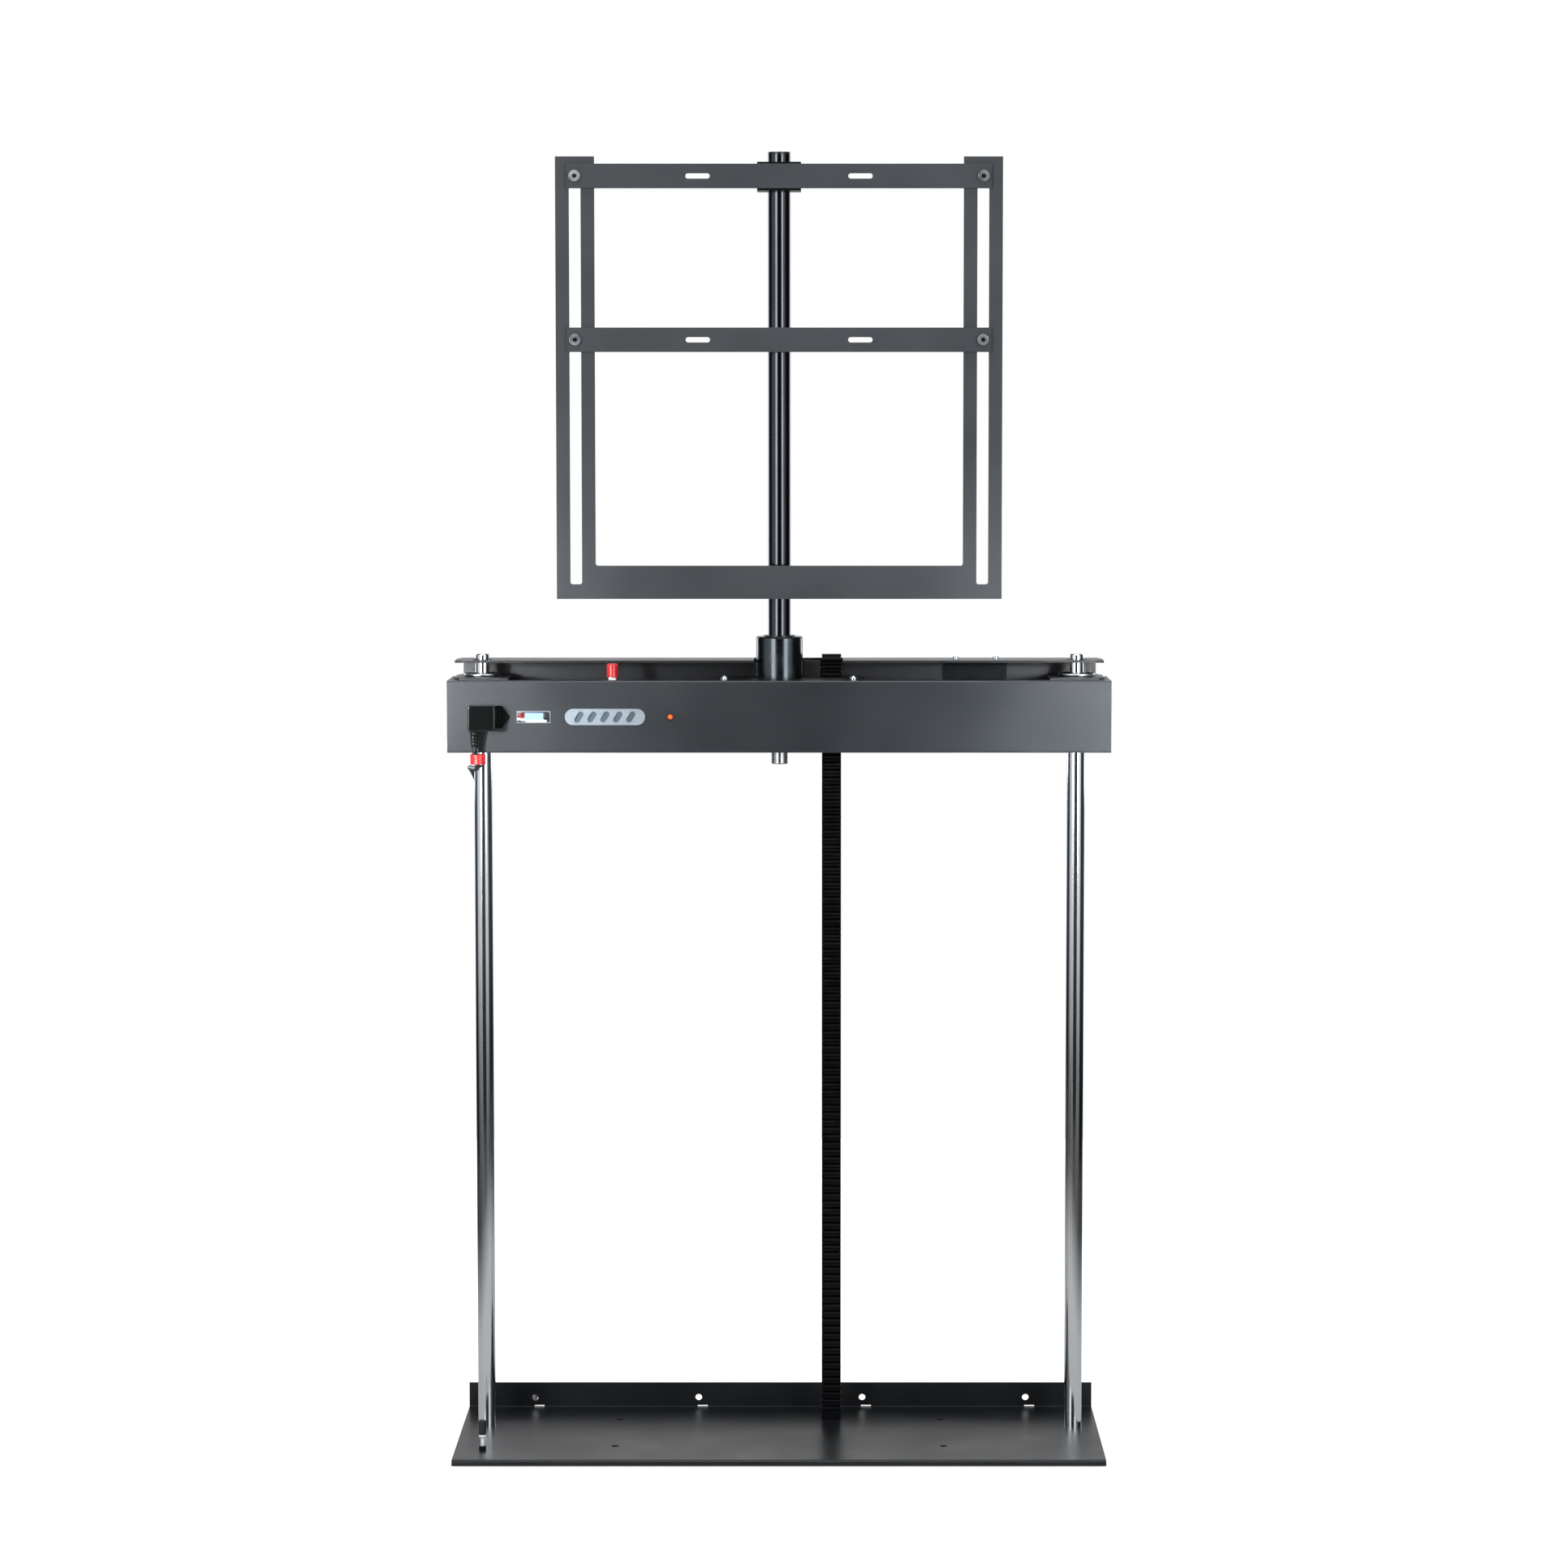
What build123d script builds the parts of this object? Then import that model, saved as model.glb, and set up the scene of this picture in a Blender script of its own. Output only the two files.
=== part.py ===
from build123d import *
import math
import os

os.makedirs("parts", exist_ok=True)

# A lift for a flat screen. A carriage box rides on two round columns, driven up a toothed rack
# by a gearmotor, and carries a swivelling pole with a U-shaped screen bracket.
# Millimetres. X runs along the base, Y from front to back, Z up. The origin lies under the
# middle of the base plate, where its rubber pads stand. The carriage is modelled raised.

# Clearances and overruns
overrun = 1
running_gap = 0.05
loose_gap = 1
seat_gap = 0.2

# Base plate
base_width = 800
base_depth = 300
base_sheet = 4
pad_height = 4
pad_radius = 20
pad_rows_y = 230
pad_inset = 40
pad_rows_x = base_width - 2 * pad_inset
lip_gap = 1
base_bend = 3
back_flange_height = 31
base_top = pad_height + base_sheet
floor_hole_radius = 4.5
floor_hole_spacing_x = 406
floor_hole_spacing_y = 147
wall_hole_radius = 4.25
wall_hole_rise = 12
inner_wall_spacing = 210
outer_wall_inset = 85
outer_wall_spacing = base_width - 2 * outer_wall_inset
fold_slot_length = 13
fold_slot_height = 2
fold_slot_offset = 5

# Columns
column_radius = 11
column_inset = 30
column_spacing = base_width - 2 * column_inset
column_y = 45
column_top = 954
column_bore_radius = 6
column_bore_depth = 20
plug_radius = 8.75
plug_height = 29
plug_chamfer = 1
foot_thread_radius = 4
foot_thread_depth = 20
foot_head_radius = 7
foot_head_height = 3.3

# Rack and pinion
gear_module = 3
pinion_teeth = 15
pressure_angle = math.radians(20)
tooth_backlash = 0.5
rack_x = 65
gear_width = 24
rack_body_depth = 12.25
rack_top = 981
drive_z = 909
flank_steps = 5
addendum_share = 0.8
dedendum_share = 1.25
pinion_pitch_radius = gear_module * pinion_teeth / 2
tooth_pitch = math.pi * gear_module
drive_y = 47.5
rack_pitch_y = drive_y + pinion_pitch_radius
rack_back_y = rack_pitch_y + dedendum_share * gear_module + rack_body_depth
rack_foot_width = gear_width
rack_foot_depth = 22
rack_foot_height = 28
rack_screw_radius = 2.5
rack_screw_rise = 17
rack_screw_spacing = 6
rack_screw_head_radius = 4.5
rack_screw_head_height = 3

# Stop post on the base
stop_offset = 4
stop_x = stop_offset - column_spacing / 2
stop_y = -92
stop_nut_radius = 4.5
stop_nut_height = 5
stop_stem_radius = 2.2
stop_collar_radius = 4.5
stop_stem_height = 9
stop_collar_height = 5
stop_tip_radius = 4.6
stop_tip_height = 18
stop_tip_round = 2

# Carriage box
channel_reach = 33
channel_width = column_spacing + 2 * channel_reach
cover_side_gap = 7
cover_width = channel_width + 2 * cover_side_gap
cover_height = 89
cover_bottom = 864
cover_sheet = 2
cover_bend = 1.5
cover_face_y = -15
cover_return = 20
cover_top = cover_bottom + cover_height
channel_sheet = 3
channel_bend = 3
channel_taper = 7
channel_taper_depth = 30
channel_front_y = 25
channel_back_y = 92
channel_top = 976
channel_foot_y = 10
channel_bottom = cover_bottom + cover_sheet
floor_z = channel_bottom + channel_sheet
web_front_y = channel_back_y - channel_sheet
column_hole_gap = 2
collar_notch_gap = 3

# Column bearings
housing_radius = 20
housing_flange_radius = 23
housing_flange_height = 3
bush_radius = 14
bush_length = 20
bush_inset = 4
end_plate_sheet = 3
end_plate_reach = 35
end_plate_inner_x = column_spacing / 2 - end_plate_reach
end_plate_front_y = 0
end_plate_chamfer = 8

# Pole bearing
pole_radius = 14
pole_wall = 3
pole_top = 1600
collar_radius = 29
collar_height = 52
collar_chamfer = 1.5
pole_bush_wall = 3
pole_bush_length = 20
pole_bush_flange_radius = 20
pole_bush_flange = 1.5
collar_plate_sheet = 3
collar_plate_left = -72
collar_plate_right = 106
foot_bearing_radius = 25
foot_bearing_flange = 4
foot_bearing_hub_radius = 21
foot_bearing_height = 20
spindle_radius = 10.5
spindle_bottom = 846
shoulder_radius = 22
shoulder_height = 12
spindle_reach = 30
pole_cap_height = 3
pole_cap_spigot = 15
dome_radius = 5
dome_skirt_height = 3
dome_nut_y = 12
dome_nut_inset_left = 4
dome_nut_inset_right = 14

# Drive unit
shaft_radius = 6
shaft_left_x = 38
gearbox_radius = 28
gearbox_length = 64
motor_radius = 25
motor_length = 126
motor_boss_radius = 9
motor_boss_length = 6
bracket_sheet = 4
bracket_left_x = 44
bracket_right_x = 82
bracket_front_y = 19
bracket_rise = 74
shaft_bush_radius = 9
shaft_bush_length = 8
gearbox_screw_pitch_radius = 21
hanger_left_x = 205
hanger_length = 80
hanger_sheet = 2
hanger_tab_depth = 39
hanger_bottom = 880
hanger_clip_width = 10
hanger_clip_inset = 15
hanger_clip_wall = 3
hanger_web_height = 10
hanger_screw_y = 62

# Backing roller behind the rack
roller_radius = 11
roller_width = 20
roller_pin_radius = 3
roller_plate_width = 64
roller_plate_height = 44
roller_plate_sheet = 3
roller_cheek_depth = 14
roller_y = rack_back_y + seat_gap + roller_radius
roller_window_gap = 2

# Screws
m4_radius = 2
m4_head_radius = 4
m4_head_height = 2.5
m4_length = 6
cover_screw_y = 78
cover_screw_inner_x = 95
cover_screw_inset = 118
cover_screw_outer_x = channel_width / 2 - cover_screw_inset
cover_screw_places = (-cover_screw_outer_x, -cover_screw_inner_x, cover_screw_inner_x,
                      cover_screw_outer_x)

# Limit switch
switch_length = 20
switch_depth = 12
switch_height = 20
switch_y = 76
switch_button_radius = 1.5

# Mains inlet and plug
inlet_inset = 53
inlet_x = inlet_inset - cover_width / 2
front_centre_z = cover_bottom + cover_height / 2
inlet_flange_width = 50
inlet_flange_height = 28
inlet_flange_nose = 10
inlet_flange_sheet = 2.5
inlet_body_width = 30
inlet_body_height = 22
inlet_body_depth = 22
inlet_wall = 2
inlet_floor = 4
inlet_pin_width = 4
inlet_pin_sheet = 2
inlet_pin_length = 12
inlet_pin_pitch = 7
plug_body_width = 34
plug_body_height = 32
plug_body_depth = 24
plug_body_offset = 9
plug_body_x = inlet_x - plug_body_offset
plug_body_round = 4
plug_nose_gap = 0.5
plug_nose_depth = 15
relief_offset = 9
relief_x = plug_body_x - relief_offset
relief_top_radius = 6
relief_tip_radius = 4
relief_length = 20.5

# Small port, vent insert and lamp in the front
port_offset = 54
port_x = inlet_x + port_offset
port_width = 42
port_height = 15
port_depth = 14
port_wall = 1
port_block_width = 24
port_block_height = 10
vent_offset = 88
vent_x = port_x + vent_offset
vent_width = 99
vent_height = 20
vent_rim = 2.5
vent_rim_sheet = 1.2
vent_depth = 4
vent_slot_count = 5
vent_slot_width = 7
vent_slot_height = 15
vent_slot_pitch = 16
vent_slot_lean = 32
lamp_offset = 80.5
lamp_x = vent_x + lamp_offset
lamp_radius = 3
lamp_length = 10
lamp_stand_out = 1.5

# Electronics in the box
board_offset = 27
board_left_x = port_x - board_offset
board_length = 62
board_height = 62
board_sheet = 1.6
board_y = 4
board_bottom = 878
spacer_radius = 3
spacer_inset = 6
relay_size = 15
relay_height = 10
relay_pitch = 24
relay_count = 2
supply_offset = 47
supply_left_x = vent_x - supply_offset
supply_length = 110
supply_depth = 47
supply_front_y = 11
supply_height = 62
wire_cap_offset = 55
wire_cap_x = supply_left_x + wire_cap_offset
wire_cap_y = 15
wire_cap_radius = 7
wire_cap_height = 17
wire_cap_round = 3
wire_sleeve_radius = 5
wire_sleeve_height = 25
lead_radius = 2
lead_z = 877
lead_y = 4
lead_turn = 21.75

# Screen bracket
bracket_width = 550
bracket_bottom = 1053
bracket_bar_height = 41
bracket_top = 1596
bracket_arm_width = 48
bracket_plate = 4
bracket_back_y = 15
bracket_inner_round = 3
arm_slot_width = 14.5
arm_slot_round = 3
arm_slot_bottom = 1071
arm_slot_top = 1580
screen_hole_spacing = 200
rail_width = 30
rail_overhang = 10
rail_lower_z = 1372
rail_slot_width = 6.5
rail_slot_length = 30
clamp_width = 54
clamp_height = 35
clamp_back_depth = 18
clamp_split = 1
clamp_bolt_x = 20.5
clamp_bolt_radius = 2.5
clamp_head_radius = 4.25
clamp_head_height = 5
rail_bolt_radius = 4
rail_head_radius = 7
rail_head_height = 5
rail_washer_radius = 12
rail_washer_height = 2
rail_nut_width = 13
rail_nut_height = 6.5

# Mains cord
cord_radius = 3
cord_corner_share = 0.45
cord_gap = 0.1
crest_gap = 0.6
coil_radii = (20, 36, 40, 44, 48)
coil_exit_radius = 22
mains_plug_length = 38
mains_plug_width = 27
mains_plug_height = 25
mains_plug_round = 4
mains_blade_width = 6.3
mains_blade_sheet = 1.5
mains_blade_length = 17
mains_blade_pitch = 12.7
mains_earth_radius = 2.4
mains_earth_length = 21
mains_relief_length = 18
mains_relief_radius = 4.5
ring_outer_radius = 9.7
ring_bore_radius = 9
ring_length = 12
ring_offset_x = 3.8
ring_offset_y = 4.2


def block(x_low, x_high, y_low, y_high, z_low, z_high, mode=Mode.ADD):
    """A box between two corners."""
    middle = ((x_low + x_high) / 2, (y_low + y_high) / 2, (z_low + z_high) / 2)
    with Locations(middle):
        Box(x_high - x_low, y_high - y_low, z_high - z_low, mode=mode)


def rod(start, direction, radius, length, mode=Mode.ADD):
    """A cylinder from a point along a direction."""
    with Locations(Plane(origin=start, z_dir=direction)):
        Cylinder(radius, length, align=(Align.CENTER, Align.CENTER, Align.MIN), mode=mode)


def upright(x, y, z_low, z_high, radius, mode=Mode.ADD):
    """A standing cylinder between two heights."""
    rod((x, y, z_low), (0, 0, 1), radius, z_high - z_low, mode)


def folded_sheet(path, bend, sheet, width):
    """A folded sheet whose middle line follows path in Y and Z, centred on X."""
    with BuildSketch(Plane.YZ.offset(-width / 2)) as profile:
        with BuildLine():
            FilletPolyline(*path, radius=bend)
        trace(line_width=sheet)
    extrude(profile.sketch, amount=width)


def screw(head_seat, direction, radius, length, head_radius, head_height):
    """A screw whose shank runs from its head's seat along direction."""
    back = tuple(-part for part in direction)
    rod(head_seat, direction, radius, length)
    rod(head_seat, back, head_radius, head_height)


# Base plate, folded down at the front and up at the back
with BuildPart() as base_plate:
    half_sheet = base_sheet / 2
    front_y = -base_depth / 2 + half_sheet
    back_y = base_depth / 2 - half_sheet
    plate_z = base_top - half_sheet
    flange_top = base_top + back_flange_height
    folded_sheet(
        [(front_y, lip_gap), (front_y, plate_z), (back_y, plate_z), (back_y, flange_top)],
        base_bend, base_sheet, base_width,
    )
    with Locations((0, 0, base_top)):
        with GridLocations(floor_hole_spacing_x, floor_hole_spacing_y, 2, 2):
            Hole(floor_hole_radius, depth=base_sheet + overrun)
    for spacing in (inner_wall_spacing, outer_wall_spacing):
        for side in (-1, 1):
            hole_x = side * spacing / 2
            rod((hole_x, base_depth / 2 + overrun, base_top + wall_hole_rise), (0, -1, 0),
                wall_hole_radius, base_sheet + 2 * overrun, Mode.SUBTRACT)
            slot_x = hole_x + fold_slot_offset
            block(slot_x - fold_slot_length / 2, slot_x + fold_slot_length / 2,
                  base_depth / 2 - base_sheet - overrun, base_depth / 2 + overrun,
                  base_top, base_top + fold_slot_height, Mode.SUBTRACT)
    for foot_x in (-column_spacing / 2, column_spacing / 2):
        upright(foot_x, column_y, pad_height - overrun, base_top + overrun,
                foot_thread_radius, Mode.SUBTRACT)
    for side in (-1, 1):
        upright(rack_x + side * rack_screw_spacing, rack_back_y + rack_foot_depth / 2,
                pad_height - overrun, base_top + overrun, rack_screw_radius, Mode.SUBTRACT)
base_plate.part.label = "base_plate"
export_step(base_plate.part, "parts/base_plate.step")

# Rubber pads
with BuildPart() as base_pads:
    with GridLocations(pad_rows_x / 2, pad_rows_y, 3, 2):
        Cylinder(pad_radius, pad_height, align=(Align.CENTER, Align.CENTER, Align.MIN))
base_pads.part.label = "base_pads"
export_step(base_pads.part, "parts/base_pads.step")


def column(x):
    """A chrome guide column with a threaded foot and a bored top."""
    with BuildPart() as made:
        upright(x, column_y, base_top, column_top, column_radius)
        upright(x, column_y, base_top, base_top + foot_thread_depth, foot_thread_radius,
                Mode.SUBTRACT)
        upright(x, column_y, column_top - column_bore_depth, column_top, column_bore_radius,
                Mode.SUBTRACT)
    return made


column_left = column(-column_spacing / 2)
column_left.part.label = "column_left"
export_step(column_left.part, "parts/column_left.step")

column_right = column(column_spacing / 2)
column_right.part.label = "column_right"
export_step(column_right.part, "parts/column_right.step")

# Turned plugs in the column tops
with BuildPart() as column_plugs:
    for foot_x in (-column_spacing / 2, column_spacing / 2):
        upright(foot_x, column_y, column_top, column_top + plug_height, plug_radius)
        upright(foot_x, column_y, column_top - column_bore_depth + loose_gap, column_top,
                column_bore_radius)
    chamfer(column_plugs.edges().group_by(Axis.Z)[-1], plug_chamfer)
column_plugs.part.label = "column_plugs"
export_step(column_plugs.part, "parts/column_plugs.step")

# Screws under the plate for the columns and the rack foot, and through the rack
with BuildPart() as foot_screws:
    for foot_x in (-column_spacing / 2, column_spacing / 2):
        screw((foot_x, column_y, pad_height), (0, 0, 1), foot_thread_radius,
              base_sheet + foot_thread_depth - loose_gap, foot_head_radius, foot_head_height)
    for side in (-1, 1):
        screw((rack_x + side * rack_screw_spacing, rack_back_y + rack_foot_depth / 2, pad_height),
              (0, 0, 1), rack_screw_radius, base_sheet + rack_foot_height / 2 - loose_gap,
              rack_screw_head_radius, rack_screw_head_height)
foot_screws.part.label = "foot_screws"
export_step(foot_screws.part, "parts/foot_screws.step")

# Toothed rack, teeth facing the front, with one tooth level with the pinion's axis
with BuildPart() as rack:
    addendum = addendum_share * gear_module
    dedendum = dedendum_share * gear_module
    half_tooth = (tooth_pitch - tooth_backlash) / 4
    tip_half = half_tooth - addendum * math.tan(pressure_angle)
    root_half = half_tooth + dedendum * math.tan(pressure_angle)
    rack_bottom = base_top
    teeth_below = math.floor((drive_z - rack_bottom - tooth_pitch) / tooth_pitch)
    teeth_above = math.floor((rack_top - drive_z - tooth_pitch / 2) / tooth_pitch)
    with BuildSketch(Plane.YZ.offset(rack_x - gear_width / 2)) as rack_section:
        outline = [(rack_back_y, rack_top), (rack_back_y, rack_bottom),
                   (rack_pitch_y + dedendum, rack_bottom)]
        for number in range(-teeth_below, teeth_above + 1):
            tooth_z = drive_z + number * tooth_pitch
            outline += [
                (rack_pitch_y + dedendum, tooth_z - root_half),
                (rack_pitch_y - addendum, tooth_z - tip_half),
                (rack_pitch_y - addendum, tooth_z + tip_half),
                (rack_pitch_y + dedendum, tooth_z + root_half),
            ]
        outline += [(rack_pitch_y + dedendum, rack_top)]
        with BuildLine():
            Polyline(*outline, close=True)
        make_face()
    extrude(amount=gear_width)
    for side in (-1, 1):
        rod((rack_x + side * rack_screw_spacing, rack_back_y + overrun,
             base_top + rack_screw_rise), (0, -1, 0), rack_screw_radius,
            rack_body_depth - loose_gap + overrun, Mode.SUBTRACT)
rack.part.label = "rack"
export_step(rack.part, "parts/rack.step")

# Block that holds the rack's foot on the plate
with BuildPart() as rack_foot:
    block(rack_x - rack_foot_width / 2, rack_x + rack_foot_width / 2, rack_back_y,
          rack_back_y + rack_foot_depth, base_top, base_top + rack_foot_height)
    chamfer(rack_foot.edges().filter_by(Axis.Z), plug_chamfer)
    for side in (-1, 1):
        upright(rack_x + side * rack_screw_spacing, rack_back_y + rack_foot_depth / 2, base_top,
                base_top + rack_foot_height / 2, rack_screw_radius, Mode.SUBTRACT)
rack_foot.part.label = "rack_foot"
export_step(rack_foot.part, "parts/rack_foot.step")

# Stop post: black nut, white nylon spacer and rubber tip
with BuildPart() as stop_nut:
    upright(stop_x, stop_y, base_top, base_top + stop_nut_height, stop_nut_radius)
stop_nut.part.label = "stop_nut"
export_step(stop_nut.part, "parts/stop_nut.step")

with BuildPart() as stop_spacer:
    stem_base = base_top + stop_nut_height
    stem_top = stem_base + stop_stem_height
    collar_base = stem_top + stop_collar_height
    with BuildSketch(Plane.XZ.offset(-stop_y)) as spacer_section:
        with BuildLine():
            Polyline((stop_x, stem_base), (stop_x + stop_stem_radius, stem_base),
                     (stop_x + stop_stem_radius, stem_top),
                     (stop_x + stop_collar_radius, stem_top + stop_collar_height / 2),
                     (stop_x + stop_collar_radius, collar_base), (stop_x, collar_base),
                     close=True)
        make_face()
    revolve(axis=Axis((stop_x, stop_y, 0), (0, 0, 1)))
stop_spacer.part.label = "stop_spacer"
export_step(stop_spacer.part, "parts/stop_spacer.step")

with BuildPart() as stop_tip:
    upright(stop_x, stop_y, collar_base, collar_base + stop_tip_height, stop_tip_radius)
    fillet(stop_tip.edges().sort_by(Axis.Z)[-1], stop_tip_round)
stop_tip.part.label = "stop_tip"
export_step(stop_tip.part, "parts/stop_tip.step")

# Slots that the rack passes through in the carriage
rack_slot = (rack_x - gear_width / 2 - column_hole_gap, rack_x + gear_width / 2 + column_hole_gap,
             rack_pitch_y - addendum - column_hole_gap, rack_back_y + column_hole_gap)

# Front cover: face, short top return, deep bottom flange and two end walls
with BuildPart() as front_cover:
    half_sheet = cover_sheet / 2
    face_mid_y = cover_face_y + half_sheet
    folded_sheet(
        [(cover_face_y + cover_return, cover_top - half_sheet), (face_mid_y, cover_top - half_sheet),
         (face_mid_y, cover_bottom + half_sheet),
         (web_front_y, cover_bottom + half_sheet)],
        cover_bend, cover_sheet, cover_width,
    )
    for side in (-1, 1):
        outer_x = side * cover_width / 2
        inner_x = side * (cover_width / 2 - cover_sheet)
        block(min(outer_x, inner_x), max(outer_x, inner_x), face_mid_y, web_front_y,
              cover_bottom + half_sheet, cover_top)
        upright(side * column_spacing / 2, column_y, cover_bottom - overrun,
                channel_bottom + overrun, column_radius + column_hole_gap, Mode.SUBTRACT)
    block(collar_plate_left, collar_plate_right, cover_face_y + cover_sheet,
          cover_face_y + cover_return + overrun, cover_top - cover_sheet, cover_top + overrun,
          Mode.SUBTRACT)
    upright(0, column_y, cover_bottom - overrun, channel_bottom + overrun,
            spindle_radius + pole_bush_wall, Mode.SUBTRACT)
    block(*rack_slot, cover_bottom - overrun, channel_bottom + overrun, Mode.SUBTRACT)
    block(inlet_x - inlet_body_width / 2, inlet_x + inlet_body_width / 2, cover_face_y - overrun,
          cover_face_y + cover_sheet + overrun, front_centre_z - inlet_body_height / 2,
          front_centre_z + inlet_body_height / 2, Mode.SUBTRACT)
    block(port_x - port_width / 2, port_x + port_width / 2, cover_face_y - overrun,
          cover_face_y + cover_sheet + overrun, front_centre_z - port_height / 2,
          front_centre_z + port_height / 2, Mode.SUBTRACT)
    with BuildSketch(Plane.XZ.offset(-(cover_face_y + cover_sheet + overrun))) as vent_hole:
        with Locations((vent_x, front_centre_z)):
            SlotOverall(vent_width - 2 * vent_rim, vent_height - 2 * vent_rim)
    extrude(amount=cover_sheet + 2 * overrun, mode=Mode.SUBTRACT)
    rod((lamp_x, cover_face_y - overrun, front_centre_z), (0, 1, 0), lamp_radius,
        cover_sheet + 2 * overrun, Mode.SUBTRACT)
    for screw_x in cover_screw_places:
        upright(screw_x, cover_screw_y, cover_bottom, cover_bottom + 2 * cover_sheet, m4_radius,
                Mode.SUBTRACT)
front_cover.part.label = "front_cover"
export_step(front_cover.part, "parts/front_cover.step")

# Back channel, open to the front, with tapered ends
with BuildPart() as carriage_channel:
    half_sheet = channel_sheet / 2
    web_mid_y = channel_back_y - half_sheet
    folded_sheet(
        [(channel_front_y, channel_top - half_sheet), (web_mid_y, channel_top - half_sheet),
         (web_mid_y, channel_bottom + half_sheet), (channel_foot_y, channel_bottom + half_sheet)],
        channel_bend, channel_sheet, channel_width,
    )
    with BuildSketch(Plane.XY.offset(channel_bottom - overrun)) as taper:
        for side in (-1, 1):
            end_x = side * (channel_width / 2 + overrun)
            with BuildLine():
                Polyline((end_x, channel_back_y - channel_taper_depth),
                         (end_x, channel_back_y + overrun),
                         (side * (channel_width / 2 - channel_taper), channel_back_y + overrun),
                         close=True)
            make_face()
    extrude(amount=channel_top - channel_bottom + 2 * overrun, mode=Mode.SUBTRACT)
    for side in (-1, 1):
        upright(side * column_spacing / 2, column_y, channel_bottom - overrun,
                channel_top + overrun, column_radius + column_hole_gap, Mode.SUBTRACT)
        upright(side * column_spacing / 2, column_y, channel_bottom + channel_sheet / 2,
                floor_z, column_radius + column_hole_gap, Mode.SUBTRACT)
    block(-collar_radius - collar_notch_gap, rack_slot[1], channel_front_y - overrun,
          rack_slot[3] - loose_gap, channel_top - channel_sheet - overrun, channel_top + overrun,
          Mode.SUBTRACT)
    upright(0, column_y, channel_bottom - overrun, floor_z + overrun,
            spindle_radius + pole_bush_wall, Mode.SUBTRACT)
    block(*rack_slot, channel_bottom - overrun, floor_z + overrun, Mode.SUBTRACT)
    block(rack_x - roller_width / 2 - roller_window_gap, rack_x + roller_width / 2 + roller_window_gap,
          web_front_y - overrun, channel_back_y + overrun,
          drive_z - roller_radius - roller_window_gap, drive_z + roller_radius + roller_window_gap,
          Mode.SUBTRACT)
    for screw_x in cover_screw_places:
        upright(screw_x, cover_screw_y, channel_bottom, channel_bottom + 2 * channel_sheet, m4_radius,
                Mode.SUBTRACT)
    for clip in (hanger_clip_inset, hanger_length - hanger_clip_inset):
        upright(hanger_left_x + clip, hanger_screw_y, channel_top - channel_sheet - overrun,
                channel_top + overrun, m4_radius, Mode.SUBTRACT)
carriage_channel.part.label = "carriage_channel"
export_step(carriage_channel.part, "parts/carriage_channel.step")

# Plates across the box at its two ends, round the column bearings
with BuildPart() as end_plates:
    for side in (-1, 1):
        inner_x = side * end_plate_inner_x
        outer_x = side * (channel_width / 2)
        tip_x = side * (channel_width / 2 - end_plate_chamfer)
        back_x = side * (channel_width / 2 - channel_taper)
        with BuildSketch(Plane.XY.offset(cover_top)) as plate_section:
            with BuildLine():
                Polyline((inner_x, end_plate_front_y), (tip_x, end_plate_front_y),
                         (outer_x, end_plate_front_y + end_plate_chamfer),
                         (outer_x, channel_back_y - channel_taper_depth),
                         (back_x, web_front_y), (inner_x, web_front_y), close=True)
            make_face()
            with Locations((side * column_spacing / 2, column_y)):
                Circle(housing_radius, mode=Mode.SUBTRACT)
        extrude(plate_section.sketch, amount=end_plate_sheet)
end_plates.part.label = "end_plates"
export_step(end_plates.part, "parts/end_plates.step")

# Plate across the middle of the box, flush with the cover's top, under the pole collar
with BuildPart() as collar_plate:
    plate_low = cover_top - collar_plate_sheet
    block(collar_plate_left, collar_plate_right, cover_face_y + cover_sheet + cover_bend / 2,
          web_front_y, plate_low, cover_top)
    upright(0, column_y, plate_low - overrun, cover_top + overrun, pole_radius + loose_gap,
            Mode.SUBTRACT)
    block(*rack_slot, plate_low - overrun, cover_top + overrun, Mode.SUBTRACT)
    for nut_x in (collar_plate_left + dome_nut_inset_left, collar_plate_right - dome_nut_inset_right):
        upright(nut_x, dome_nut_y, plate_low - overrun, cover_top + overrun, m4_radius,
                Mode.SUBTRACT)
collar_plate.part.label = "collar_plate"
export_step(collar_plate.part, "parts/collar_plate.step")


# Flanged steel sleeves between the box's floor and its end plates
plate_top = cover_top + end_plate_sheet
with BuildPart() as bearing_housings:
    for side in (-1, 1):
        sleeve_x = side * column_spacing / 2
        upright(sleeve_x, column_y, floor_z, plate_top, housing_radius)
        upright(sleeve_x, column_y, plate_top, plate_top + housing_flange_height,
                housing_flange_radius)
        upright(sleeve_x, column_y, floor_z, plate_top + housing_flange_height,
                column_radius + column_hole_gap, Mode.SUBTRACT)
        for bush_z in (floor_z + bush_inset, cover_top - bush_inset - bush_length):
            upright(sleeve_x, column_y, bush_z, bush_z + bush_length, bush_radius, Mode.SUBTRACT)
bearing_housings.part.label = "bearing_housings"
export_step(bearing_housings.part, "parts/bearing_housings.step")

# Plastic bushes that slide on the columns
with BuildPart() as guide_bushes:
    for side in (-1, 1):
        bush_x = side * column_spacing / 2
        for bush_z in (floor_z + bush_inset, cover_top - bush_inset - bush_length):
            upright(bush_x, column_y, bush_z, bush_z + bush_length, bush_radius)
            upright(bush_x, column_y, bush_z, bush_z + bush_length, column_radius + running_gap,
                    Mode.SUBTRACT)
guide_bushes.part.label = "guide_bushes"
export_step(guide_bushes.part, "parts/guide_bushes.step")

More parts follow.
